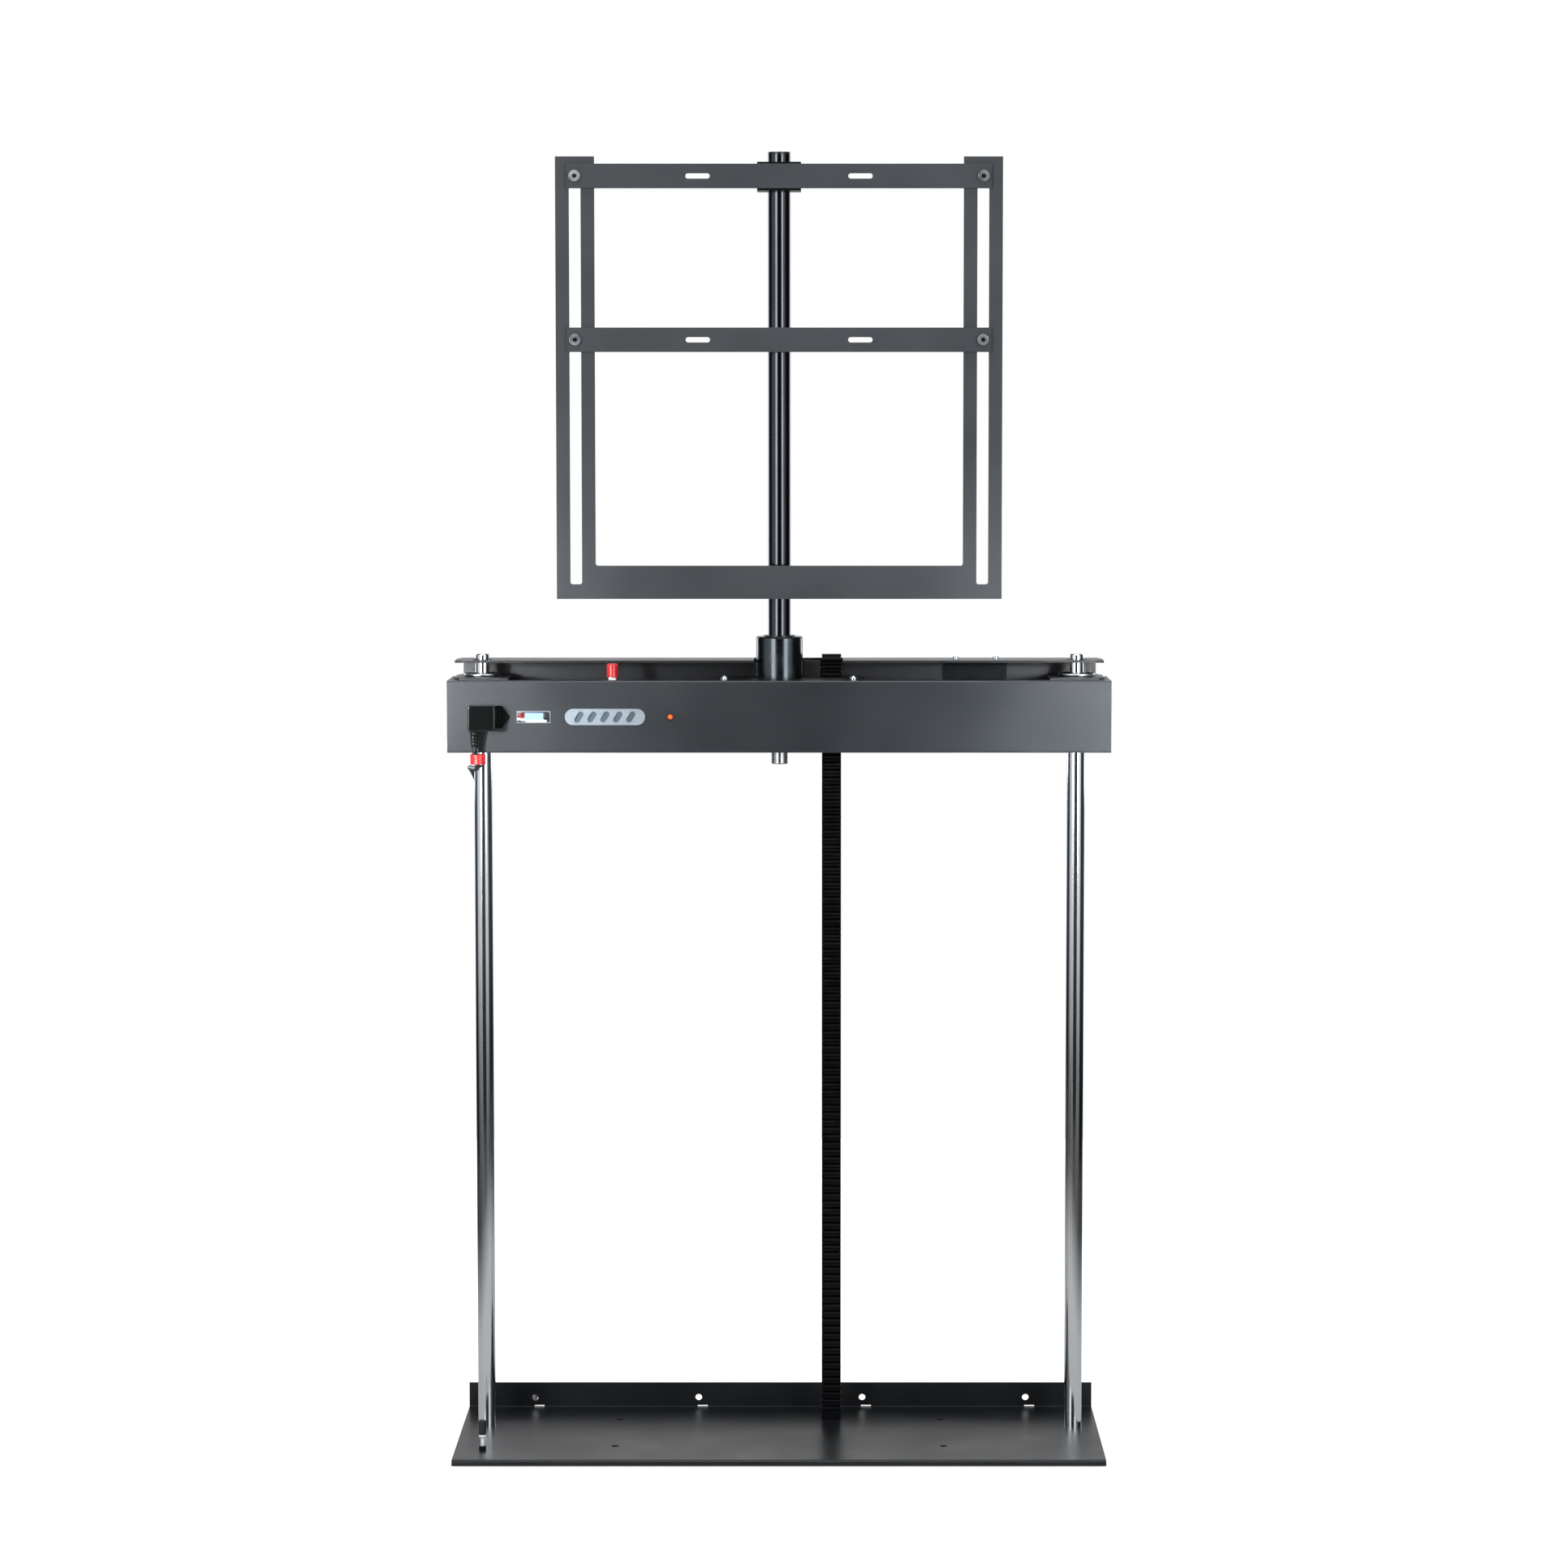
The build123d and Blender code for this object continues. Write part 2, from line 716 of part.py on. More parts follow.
# Steel collar that guides the pole
collar_top = cover_top + collar_height
with BuildPart() as pole_collar:
    upright(0, column_y, cover_top, collar_top, collar_radius)
    chamfer(pole_collar.edges().sort_by(Axis.Z)[-1], collar_chamfer)
    upright(0, column_y, cover_top - overrun, collar_top + overrun, pole_radius + pole_bush_wall,
            Mode.SUBTRACT)
pole_collar.part.label = "pole_collar"
export_step(pole_collar.part, "parts/pole_collar.step")

# Plastic bearings: two bushes round the pole in the collar, and a flanged one on the box's floor
# that its spindle turns in
foot_bearing_top = floor_z + foot_bearing_height
with BuildPart() as pole_bearings:
    bush_outer = pole_radius + pole_bush_wall
    upright(0, column_y, cover_top, cover_top + pole_bush_length, bush_outer)
    upright(0, column_y, collar_top - pole_bush_length, collar_top, bush_outer)
    upright(0, column_y, collar_top, collar_top + pole_bush_flange, pole_bush_flange_radius)
    upright(0, column_y, cover_bottom, floor_z, spindle_radius + pole_bush_wall)
    upright(0, column_y, floor_z, floor_z + foot_bearing_flange, foot_bearing_radius)
    upright(0, column_y, floor_z, foot_bearing_top, foot_bearing_hub_radius)
    upright(0, column_y, cover_top - overrun, collar_top + pole_bush_flange + overrun,
            pole_radius + running_gap, Mode.SUBTRACT)
    upright(0, column_y, cover_bottom - overrun, foot_bearing_top + overrun,
            spindle_radius + running_gap, Mode.SUBTRACT)
pole_bearings.part.label = "pole_bearings"
export_step(pole_bearings.part, "parts/pole_bearings.step")

# Bright dome nuts on the collar plate
with BuildPart() as dome_nuts:
    for nut_x in (collar_plate_left + dome_nut_inset_left, collar_plate_right - dome_nut_inset_right):
        upright(nut_x, dome_nut_y, cover_top, cover_top + dome_skirt_height, dome_radius)
        with Locations((nut_x, dome_nut_y, cover_top + dome_skirt_height)):
            Sphere(dome_radius, arc_size1=0)
        upright(nut_x, dome_nut_y, cover_top - collar_plate_sheet, cover_top, m4_radius)
dome_nuts.part.label = "dome_nuts"
export_step(dome_nuts.part, "parts/dome_nuts.step")

# Folded bracket with two cheeks that carries the gearbox and the end of the shaft
gearbox_x = bracket_right_x + bracket_sheet
with BuildPart() as drive_bracket:
    block(bracket_left_x, gearbox_x, bracket_front_y, rack_slot[2] - loose_gap, floor_z,
          floor_z + bracket_sheet)
    for cheek_x in (bracket_left_x, bracket_right_x):
        block(cheek_x, cheek_x + bracket_sheet, bracket_front_y, web_front_y - channel_bend, floor_z,
              floor_z + bracket_rise)
    rod((bracket_left_x - overrun, drive_y, drive_z), (1, 0, 0), shaft_bush_radius,
        bracket_sheet + 2 * overrun, Mode.SUBTRACT)
    rod((bracket_right_x - overrun, drive_y, drive_z), (1, 0, 0), shaft_radius + loose_gap,
        bracket_sheet + 2 * overrun, Mode.SUBTRACT)
    for turn in range(4):
        screw_angle = math.radians(90 * turn + 45)
        rod((bracket_right_x - overrun,
             drive_y + gearbox_screw_pitch_radius * math.cos(screw_angle),
             drive_z + gearbox_screw_pitch_radius * math.sin(screw_angle)),
            (1, 0, 0), m4_radius, bracket_sheet + 2 * overrun, Mode.SUBTRACT)
drive_bracket.part.label = "drive_bracket"
export_step(drive_bracket.part, "parts/drive_bracket.step")

with BuildPart() as shaft_bush:
    bush_start = bracket_left_x + bracket_sheet / 2 - shaft_bush_length / 2
    rod((bush_start, drive_y, drive_z), (1, 0, 0), shaft_bush_radius, shaft_bush_length)
    rod((bush_start - overrun, drive_y, drive_z), (1, 0, 0), shaft_radius + running_gap,
        shaft_bush_length + 2 * overrun, Mode.SUBTRACT)
shaft_bush.part.label = "shaft_bush"
export_step(shaft_bush.part, "parts/shaft_bush.step")

# Gearbox with its shaft bore and threaded face
with BuildPart() as gearbox:
    rod((gearbox_x, drive_y, drive_z), (1, 0, 0), gearbox_radius, gearbox_length)
    chamfer(gearbox.edges().filter_by(GeomType.CIRCLE), plug_chamfer)
    rod((gearbox_x - overrun, drive_y, drive_z), (1, 0, 0), shaft_radius + running_gap,
        gear_width + overrun, Mode.SUBTRACT)
    for turn in range(4):
        screw_angle = math.radians(90 * turn + 45)
        rod((gearbox_x - overrun, drive_y + gearbox_screw_pitch_radius * math.cos(screw_angle),
             drive_z + gearbox_screw_pitch_radius * math.sin(screw_angle)),
            (1, 0, 0), m4_radius, m4_length + overrun, Mode.SUBTRACT)
gearbox.part.label = "gearbox"
export_step(gearbox.part, "parts/gearbox.step")

motor_x = gearbox_x + gearbox_length
motor_end_x = motor_x + motor_length
with BuildPart() as motor_can:
    rod((motor_x, drive_y, drive_z), (1, 0, 0), motor_radius, motor_length)
    fillet(motor_can.edges().sort_by(Axis.X)[-1], plug_chamfer)
    rod((motor_end_x, drive_y, drive_z), (1, 0, 0), motor_boss_radius, motor_boss_length)
motor_can.part.label = "motor_can"
export_step(motor_can.part, "parts/motor_can.step")

# Hanger that ties the motor to the channel
flange_low = channel_top - channel_sheet
with BuildPart() as motor_hanger:
    block(hanger_left_x, hanger_left_x + hanger_length, web_front_y - hanger_sheet, web_front_y,
          hanger_bottom, flange_low - channel_bend)
    block(hanger_left_x, hanger_left_x + hanger_length, web_front_y - hanger_tab_depth,
          web_front_y - channel_bend, flange_low - hanger_sheet, flange_low)
    block(hanger_left_x, hanger_left_x + hanger_length, web_front_y - channel_bend - hanger_sheet,
          web_front_y - hanger_sheet / 2, flange_low - channel_bend - hanger_sheet,
          flange_low - hanger_sheet / 2)
    for clip in (hanger_clip_inset, hanger_length - hanger_clip_inset):
        clip_x = hanger_left_x + clip - hanger_clip_width / 2
        block(clip_x, clip_x + hanger_clip_width, drive_y + motor_radius + hanger_clip_wall / 2,
              web_front_y - hanger_sheet, drive_z - hanger_web_height / 2,
              drive_z + hanger_web_height / 2)
        rod((clip_x, drive_y, drive_z), (1, 0, 0), motor_radius + hanger_clip_wall,
            hanger_clip_width)
        rod((clip_x - overrun, drive_y, drive_z), (1, 0, 0), motor_radius,
            hanger_clip_width + 2 * overrun, Mode.SUBTRACT)
        upright(hanger_left_x + clip, hanger_screw_y, flange_low - hanger_sheet - overrun,
                flange_low + overrun, m4_radius, Mode.SUBTRACT)
motor_hanger.part.label = "motor_hanger"
export_step(motor_hanger.part, "parts/motor_hanger.step")

# Small screws: the cover's underside, the gearbox face and the hanger
with BuildPart() as machine_screws:
    for screw_x in cover_screw_places:
        screw((screw_x, cover_screw_y, cover_bottom), (0, 0, 1), m4_radius,
              cover_sheet + channel_sheet, m4_head_radius, m4_head_height)
    for clip in (hanger_clip_inset, hanger_length - hanger_clip_inset):
        screw((hanger_left_x + clip, hanger_screw_y, channel_top), (0, 0, -1), m4_radius,
              channel_sheet + hanger_sheet, m4_head_radius, m4_head_height)
    for turn in range(4):
        screw_angle = math.radians(90 * turn + 45)
        screw((bracket_right_x, drive_y + gearbox_screw_pitch_radius * math.cos(screw_angle),
               drive_z + gearbox_screw_pitch_radius * math.sin(screw_angle)),
              (1, 0, 0), m4_radius, bracket_sheet + m4_length - loose_gap, m4_head_radius,
              m4_head_height)
machine_screws.part.label = "machine_screws"
export_step(machine_screws.part, "parts/machine_screws.step")

# Shaft and pinion
pinion_x = rack_x - gear_width / 2
with BuildPart() as drive_shaft:
    rod((shaft_left_x, drive_y, drive_z), (1, 0, 0), shaft_radius,
        gearbox_x + gear_width - loose_gap - shaft_left_x)
drive_shaft.part.label = "drive_shaft"
export_step(drive_shaft.part, "parts/drive_shaft.step")

base_radius = pinion_pitch_radius * math.cos(pressure_angle)
pinion_tip_radius = pinion_pitch_radius + gear_module * addendum_share
pinion_root_radius = pinion_pitch_radius - dedendum_share * gear_module


def flank_angle(radius):
    """Half the angle that a tooth takes at a radius, from the involute's own formula."""
    at_pitch = (tooth_pitch - tooth_backlash) / 4 / pinion_pitch_radius
    here = math.acos(min(base_radius / radius, 1))
    pitch_involute = math.tan(pressure_angle) - pressure_angle
    return at_pitch + pitch_involute - (math.tan(here) - here)


with BuildPart() as pinion:
    flank_radii = [pinion_root_radius] + [
        base_radius + (pinion_tip_radius - base_radius) * step / flank_steps
        for step in range(flank_steps + 1)
    ]
    gear_outline = []
    for tooth in range(pinion_teeth):
        middle = 2 * math.pi * (tooth + 1 / 2) / pinion_teeth
        rising = [(radius, middle - flank_angle(max(radius, base_radius)))
                  for radius in flank_radii]
        falling = [(radius, middle + flank_angle(max(radius, base_radius)))
                   for radius in reversed(flank_radii)]
        gear_outline += [(radius * math.cos(angle), radius * math.sin(angle))
                         for radius, angle in rising + falling]
    gear_plane = Plane(origin=(pinion_x, drive_y, drive_z), x_dir=(0, 1, 0), z_dir=(1, 0, 0))
    with BuildSketch(gear_plane) as gear_section:
        with BuildLine():
            Polyline(*gear_outline, close=True)
        make_face()
        Circle(shaft_radius, mode=Mode.SUBTRACT)
    extrude(amount=gear_width)
pinion.part.label = "pinion"
export_step(pinion.part, "parts/pinion.step")

# Backing roller behind the rack, in its bracket on the channel's web
roller_half_window = roller_width / 2 + roller_window_gap
with BuildPart() as roller_bracket:
    block(rack_x - roller_plate_width / 2, rack_x + roller_plate_width / 2, channel_back_y,
          channel_back_y + roller_plate_sheet, drive_z - roller_plate_height / 2,
          drive_z + roller_plate_height / 2)
    block(rack_x - roller_half_window, rack_x + roller_half_window, channel_back_y - overrun,
          channel_back_y + roller_plate_sheet + overrun,
          drive_z - roller_radius - roller_window_gap, drive_z + roller_radius + roller_window_gap,
          Mode.SUBTRACT)
    for side in (-1, 1):
        inner_x = rack_x + side * roller_half_window
        outer_x = inner_x + side * roller_plate_sheet
        block(min(inner_x, outer_x), max(inner_x, outer_x), channel_back_y,
              channel_back_y + roller_cheek_depth, drive_z - roller_radius, drive_z + roller_radius)
    rod((rack_x - roller_plate_width / 2, roller_y, drive_z), (1, 0, 0),
        roller_pin_radius, roller_plate_width, Mode.SUBTRACT)
roller_bracket.part.label = "roller_bracket"
export_step(roller_bracket.part, "parts/roller_bracket.step")

with BuildPart() as roller_pin:
    pin_half = roller_half_window + roller_plate_sheet
    rod((rack_x - pin_half, roller_y, drive_z), (1, 0, 0), roller_pin_radius, 2 * pin_half)
roller_pin.part.label = "roller_pin"
export_step(roller_pin.part, "parts/roller_pin.step")

with BuildPart() as backing_roller:
    rod((rack_x - roller_width / 2, roller_y, drive_z), (1, 0, 0), roller_radius, roller_width)
    rod((rack_x - roller_width / 2 - overrun, roller_y, drive_z), (1, 0, 0),
        roller_pin_radius + running_gap, roller_width + 2 * overrun, Mode.SUBTRACT)
backing_roller.part.label = "backing_roller"
export_step(backing_roller.part, "parts/backing_roller.step")

# Limit switch on the collar plate, beside the rack
switch_right_x = rack_x - gear_width / 2 - column_hole_gap
with BuildPart() as limit_switch:
    block(switch_right_x - switch_length, switch_right_x, switch_y - switch_depth / 2,
          switch_y + switch_depth / 2, cover_top, cover_top + switch_height)
    rod((switch_right_x, switch_y, cover_top + switch_height / 2), (1, 0, 0), switch_button_radius,
        column_hole_gap - seat_gap)
limit_switch.part.label = "limit_switch"
export_step(limit_switch.part, "parts/limit_switch.step")

# Mains inlet with its lozenge flange and three blades
inlet_front_y = cover_face_y - inlet_flange_sheet
inlet_back_y = cover_face_y + inlet_body_depth
with BuildPart() as inlet_housing:
    half_width = inlet_flange_width / 2
    half_height = inlet_flange_height / 2
    shoulder = half_width - inlet_flange_nose
    with BuildSketch(Plane.XZ.offset(-cover_face_y)) as lozenge:
        with Locations((inlet_x, front_centre_z)):
            Polygon((-shoulder, half_height), (-half_width, 0), (-shoulder, -half_height),
                    (shoulder, -half_height), (half_width, 0), (shoulder, half_height),
                    align=None)
        fillet(lozenge.vertices(), plug_chamfer * 2)
    extrude(amount=inlet_flange_sheet)
    block(inlet_x - inlet_body_width / 2, inlet_x + inlet_body_width / 2, cover_face_y,
          inlet_back_y, front_centre_z - inlet_body_height / 2,
          front_centre_z + inlet_body_height / 2)
    block(inlet_x - inlet_body_width / 2 + inlet_wall, inlet_x + inlet_body_width / 2 - inlet_wall,
          inlet_front_y - overrun, inlet_back_y - inlet_floor,
          front_centre_z - inlet_body_height / 2 + inlet_wall,
          front_centre_z + inlet_body_height / 2 - inlet_wall, Mode.SUBTRACT)
    for place, rise in ((-1, -1), (0, 1), (1, -1)):
        blade_x = inlet_x + place * inlet_pin_pitch
        blade_z = front_centre_z + rise * inlet_pin_sheet
        block(blade_x - inlet_pin_sheet / 2, blade_x + inlet_pin_sheet / 2,
              inlet_back_y - inlet_floor - inlet_pin_length, inlet_back_y - inlet_floor / 2,
              blade_z - inlet_pin_width / 2, blade_z + inlet_pin_width / 2)
inlet_housing.part.label = "inlet_housing"
export_step(inlet_housing.part, "parts/inlet_housing.step")

# Angled moulded plug in the inlet
plug_back_y = inlet_front_y - seat_gap
plug_front_y = plug_back_y - plug_body_depth
relief_y = (plug_front_y + plug_back_y) / 2
plug_low_z = front_centre_z - plug_body_height / 2
relief_low_z = plug_low_z - relief_length
with BuildPart() as inlet_plug:
    block(plug_body_x - plug_body_width / 2, plug_body_x + plug_body_width / 2, plug_front_y,
          plug_back_y, plug_low_z, plug_low_z + plug_body_height)
    fillet(inlet_plug.edges().filter_by(Axis.Y), plug_body_round)
    fillet(inlet_plug.faces().sort_by(Axis.Y)[0].edges(), plug_body_round / 2)
    nose_half = inlet_body_width / 2 - inlet_wall - plug_nose_gap
    nose_rise = inlet_body_height / 2 - inlet_wall - plug_nose_gap
    block(inlet_x - nose_half, inlet_x + nose_half, plug_back_y - overrun,
          inlet_front_y + plug_nose_depth, front_centre_z - nose_rise, front_centre_z + nose_rise)
    for place, rise in ((-1, -1), (0, 1), (1, -1)):
        blade_x = inlet_x + place * inlet_pin_pitch
        blade_z = front_centre_z + rise * inlet_pin_sheet
        block(blade_x - inlet_pin_sheet / 2 - plug_nose_gap,
              blade_x + inlet_pin_sheet / 2 + plug_nose_gap,
              plug_back_y, inlet_front_y + plug_nose_depth + overrun,
              blade_z - inlet_pin_width / 2 - plug_nose_gap,
              blade_z + inlet_pin_width / 2 + plug_nose_gap, Mode.SUBTRACT)
    with Locations((relief_x, relief_y, relief_low_z)):
        Cone(relief_tip_radius, relief_top_radius, relief_length + plug_body_round,
             align=(Align.CENTER, Align.CENTER, Align.MIN))
inlet_plug.part.label = "inlet_plug"
export_step(inlet_plug.part, "parts/inlet_plug.step")

# Small port: white shell and blue block
port_back_y = cover_face_y + port_depth
with BuildPart() as port_shell:
    block(port_x - port_width / 2, port_x + port_width / 2, cover_face_y - port_wall, port_back_y,
          front_centre_z - port_height / 2, front_centre_z + port_height / 2)
    block(port_x - port_width / 2 + port_wall, port_x + port_width / 2 - port_wall,
          cover_face_y - port_wall - overrun, port_back_y - port_wall,
          front_centre_z - port_height / 2 + port_wall,
          front_centre_z + port_height / 2 - port_wall, Mode.SUBTRACT)
port_shell.part.label = "port_shell"
export_step(port_shell.part, "parts/port_shell.step")

with BuildPart() as port_block:
    block(port_x - port_block_width / 2, port_x + port_block_width / 2,
          cover_face_y, port_back_y - port_wall, front_centre_z - port_block_height / 2,
          front_centre_z + port_block_height / 2)
port_block.part.label = "port_block"
export_step(port_block.part, "parts/port_block.step")

# Louvred insert in the obround opening
with BuildPart() as vent_insert:
    with BuildSketch(Plane.XZ.offset(-cover_face_y)) as vent_face:
        with Locations((vent_x, front_centre_z)):
            SlotOverall(vent_width, vent_height)
    extrude(amount=vent_rim_sheet)
    with BuildSketch(Plane.XZ.offset(-(cover_face_y + vent_depth))) as vent_body:
        with Locations((vent_x, front_centre_z)):
            SlotOverall(vent_width - 2 * vent_rim, vent_height - 2 * vent_rim)
    extrude(amount=vent_depth)
    with BuildSketch(Plane.XZ.offset(-(cover_face_y + vent_depth + overrun))) as vent_slots:
        for number in range(vent_slot_count):
            slot_x = vent_x + (number - (vent_slot_count - 1) / 2) * vent_slot_pitch
            with Locations((slot_x, front_centre_z)):
                SlotOverall(vent_slot_height, vent_slot_width, rotation=90 - vent_slot_lean)
    extrude(amount=vent_depth + vent_rim_sheet + 2 * overrun, mode=Mode.SUBTRACT)
vent_insert.part.label = "vent_insert"
export_step(vent_insert.part, "parts/vent_insert.step")

with BuildPart() as lamp_lens:
    rod((lamp_x, cover_face_y + lamp_length - lamp_stand_out, front_centre_z), (0, -1, 0),
        lamp_radius, lamp_length - lamp_radius)
    with Locations((lamp_x, cover_face_y - lamp_stand_out + lamp_radius, front_centre_z)):
        Sphere(lamp_radius)
lamp_lens.part.label = "lamp_lens"
export_step(lamp_lens.part, "parts/lamp_lens.step")

# Control board on spacers behind the cover's face
board_right_x = board_left_x + board_length
board_top = board_bottom + board_height
with BuildPart() as control_board:
    block(board_left_x, board_right_x, board_y, board_y + board_sheet, board_bottom, board_top)
control_board.part.label = "control_board"
export_step(control_board.part, "parts/control_board.step")

with BuildPart() as board_spacers:
    for spacer_x in (board_left_x + spacer_inset, board_right_x - spacer_inset):
        for spacer_z in (board_bottom + spacer_inset, board_top - spacer_inset):
            rod((spacer_x, cover_face_y + cover_sheet, spacer_z), (0, 1, 0), spacer_radius,
                board_y - cover_face_y - cover_sheet)
board_spacers.part.label = "board_spacers"
export_step(board_spacers.part, "parts/board_spacers.step")

with BuildPart() as board_relays:
    for number in range(relay_count):
        relay_x = board_left_x + relay_size + number * relay_pitch
        block(relay_x, relay_x + relay_size, board_y + board_sheet,
              board_y + board_sheet + relay_height, board_bottom + relay_size,
              board_bottom + 2 * relay_size)
board_relays.part.label = "board_relays"
export_step(board_relays.part, "parts/board_relays.step")

# Closed power supply standing on the box's floor, with a capped pair of wires on top
supply_top = floor_z + supply_height
with BuildPart() as power_supply:
    block(supply_left_x, supply_left_x + supply_length, supply_front_y,
          supply_front_y + supply_depth, floor_z, supply_top)
    chamfer(power_supply.edges().filter_by(Axis.X), plug_chamfer)
power_supply.part.label = "power_supply"
export_step(power_supply.part, "parts/power_supply.step")

with BuildPart() as wire_sleeve:
    upright(wire_cap_x, wire_cap_y, supply_top, supply_top + wire_sleeve_height,
            wire_sleeve_radius)
wire_sleeve.part.label = "wire_sleeve"
export_step(wire_sleeve.part, "parts/wire_sleeve.step")

cap_low = supply_top + wire_sleeve_height
with BuildPart() as wire_cap:
    upright(wire_cap_x, wire_cap_y, cap_low, cap_low + wire_cap_height, wire_cap_radius)
    fillet(wire_cap.edges().sort_by(Axis.Z)[-1], wire_cap_round)
wire_cap.part.label = "wire_cap"
export_step(wire_cap.part, "parts/wire_cap.step")


def route_radii(route):
    """Each corner's arc: a share of its shorter run over the tangent of half its turn."""
    radii = []
    for before, corner, after in zip(route, route[1:], route[2:]):
        run_in = Vector(*corner) - Vector(*before)
        run_out = Vector(*after) - Vector(*corner)
        turn = math.radians(run_in.get_angle(run_out))
        shorter = min(run_in.length, run_out.length)
        radii.append(cord_corner_share * shorter / math.tan(turn / 2))
    return radii


def cord_tube(name, route, radius):
    """A round cord along a route of straight runs and tangent arcs."""
    radii = route_radii(route)
    with BuildPart() as made:
        with BuildLine() as path:
            FilletPolyline(*route, radius=radii)
        first_run = Vector(*route[1]) - Vector(*route[0])
        with BuildSketch(Plane(origin=route[0], z_dir=first_run)) as section:
            Circle(radius)
        sweep(section.sketch, path=path.wires()[0])
    length = path.wires()[0].length
    share = made.part.volume / (math.pi * radius ** 2 * length)
    print(name, "length", round(length), "least radius", round(min(radii), 1),
          "volume share", round(share, 4))
    return made


# Motor lead inside the box, from the supply round to the motor's back end
lead_start_x = supply_left_x + supply_length
lead_end_x = motor_end_x + motor_boss_length
lead_run = lead_end_x - lead_start_x
lead_route = [
    (lead_start_x, supply_front_y + supply_depth / 2, lead_z),
    (lead_start_x + 0.045 * lead_run, supply_front_y + supply_depth / 2, lead_z),
    (lead_start_x + 0.105 * lead_run, lead_y + 7, lead_z),
    (lead_start_x + 0.168 * lead_run, lead_y + 1, lead_z),
    (lead_start_x + 0.295 * lead_run, lead_y - 1, lead_z),
    (lead_start_x + 0.432 * lead_run, lead_y, lead_z),
    (lead_start_x + 0.568 * lead_run, lead_y - 1, lead_z),
    (lead_start_x + 0.705 * lead_run, lead_y, lead_z + 1),
    (lead_start_x + 0.818 * lead_run, lead_y - 1, lead_z + 4),
    (lead_start_x + 0.909 * lead_run, lead_y - 1, lead_z + 11),
    (lead_start_x + 0.982 * lead_run, lead_y, lead_z + 21),
    (lead_end_x + 21, drive_y - 2 * lead_turn, drive_z - 3),
    (lead_end_x + 34, drive_y - 2 * lead_turn + 13, drive_z),
    (lead_end_x + 34, drive_y - 13, drive_z + 1),
    (lead_end_x + 21, drive_y, drive_z),
    (lead_end_x, drive_y, drive_z),
]
motor_lead = cord_tube("motor_lead", lead_route, lead_radius)
motor_lead.part.label = "motor_lead"
export_step(motor_lead.part, "parts/motor_lead.step")

# The pole, its cap, and the spindle whose shoulder rests on the foot bearing and carries it
shoulder_low = foot_bearing_top + seat_gap
pole_bottom = shoulder_low + shoulder_height
with BuildPart() as pole:
    upright(0, column_y, pole_bottom, pole_top, pole_radius)
    upright(0, column_y, pole_bottom - overrun, pole_top + overrun, pole_radius - pole_wall,
            Mode.SUBTRACT)
pole.part.label = "pole"
export_step(pole.part, "parts/pole.step")

with BuildPart() as pole_cap:
    upright(0, column_y, pole_top, pole_top + pole_cap_height, pole_radius)
    upright(0, column_y, pole_top - pole_cap_spigot, pole_top, pole_radius - pole_wall)
pole_cap.part.label = "pole_cap"
export_step(pole_cap.part, "parts/pole_cap.step")

with BuildPart() as pole_spindle:
    upright(0, column_y, spindle_bottom, pole_bottom, spindle_radius)
    upright(0, column_y, shoulder_low, pole_bottom, shoulder_radius)
    upright(0, column_y, pole_bottom, pole_bottom + spindle_reach, pole_radius - pole_wall)
    chamfer(pole_spindle.edges().sort_by(Axis.Z)[0], plug_chamfer)
pole_spindle.part.label = "pole_spindle"
export_step(pole_spindle.part, "parts/pole_spindle.step")

# U-shaped bracket with a long slot up each arm
bracket_front_face_y = bracket_back_y - bracket_plate
arm_slot_x = bracket_width / 2 - bracket_arm_width / 2
with BuildPart() as u_bracket:
    with BuildSketch(Plane.XZ.offset(-bracket_back_y)) as u_section:
        inner_low = bracket_bottom + bracket_bar_height
        with Locations((0, (bracket_bottom + bracket_top) / 2)):
            Rectangle(bracket_width, bracket_top - bracket_bottom)
        with BuildSketch(mode=Mode.SUBTRACT) as inner_gap:
            with Locations((0, (inner_low + bracket_top + overrun) / 2)):
                Rectangle(bracket_width - 2 * bracket_arm_width, bracket_top + overrun - inner_low)
            fillet(inner_gap.vertices().group_by(Axis.Y)[0], bracket_inner_round)
        with Locations((-arm_slot_x, (arm_slot_bottom + arm_slot_top) / 2),
                       (arm_slot_x, (arm_slot_bottom + arm_slot_top) / 2)):
            RectangleRounded(arm_slot_width, arm_slot_top - arm_slot_bottom, arm_slot_round,
                             mode=Mode.SUBTRACT)
    extrude(amount=bracket_plate)
u_bracket.part.label = "u_bracket"
export_step(u_bracket.part, "parts/u_bracket.step")


# Flat rails across the arms, slotted for the screen's bolts
rail_upper_z = rail_lower_z + screen_hole_spacing
rail_length = 2 * arm_slot_x + 2 * rail_overhang
with BuildPart() as screen_rails:
    with BuildSketch(Plane.XZ.offset(-bracket_front_face_y)) as rail_section:
        for rail_z in (rail_lower_z, rail_upper_z):
            with Locations((0, rail_z)):
                Rectangle(rail_length, rail_width)
            with Locations((-arm_slot_x, rail_z), (arm_slot_x, rail_z)):
                Circle(rail_bolt_radius, mode=Mode.SUBTRACT)
            with Locations((-screen_hole_spacing / 2, rail_z), (screen_hole_spacing / 2, rail_z)):
                SlotOverall(rail_slot_length, rail_slot_width, mode=Mode.SUBTRACT)
    extrude(amount=bracket_plate)
screen_rails.part.label = "screen_rails"
export_step(screen_rails.part, "parts/screen_rails.step")

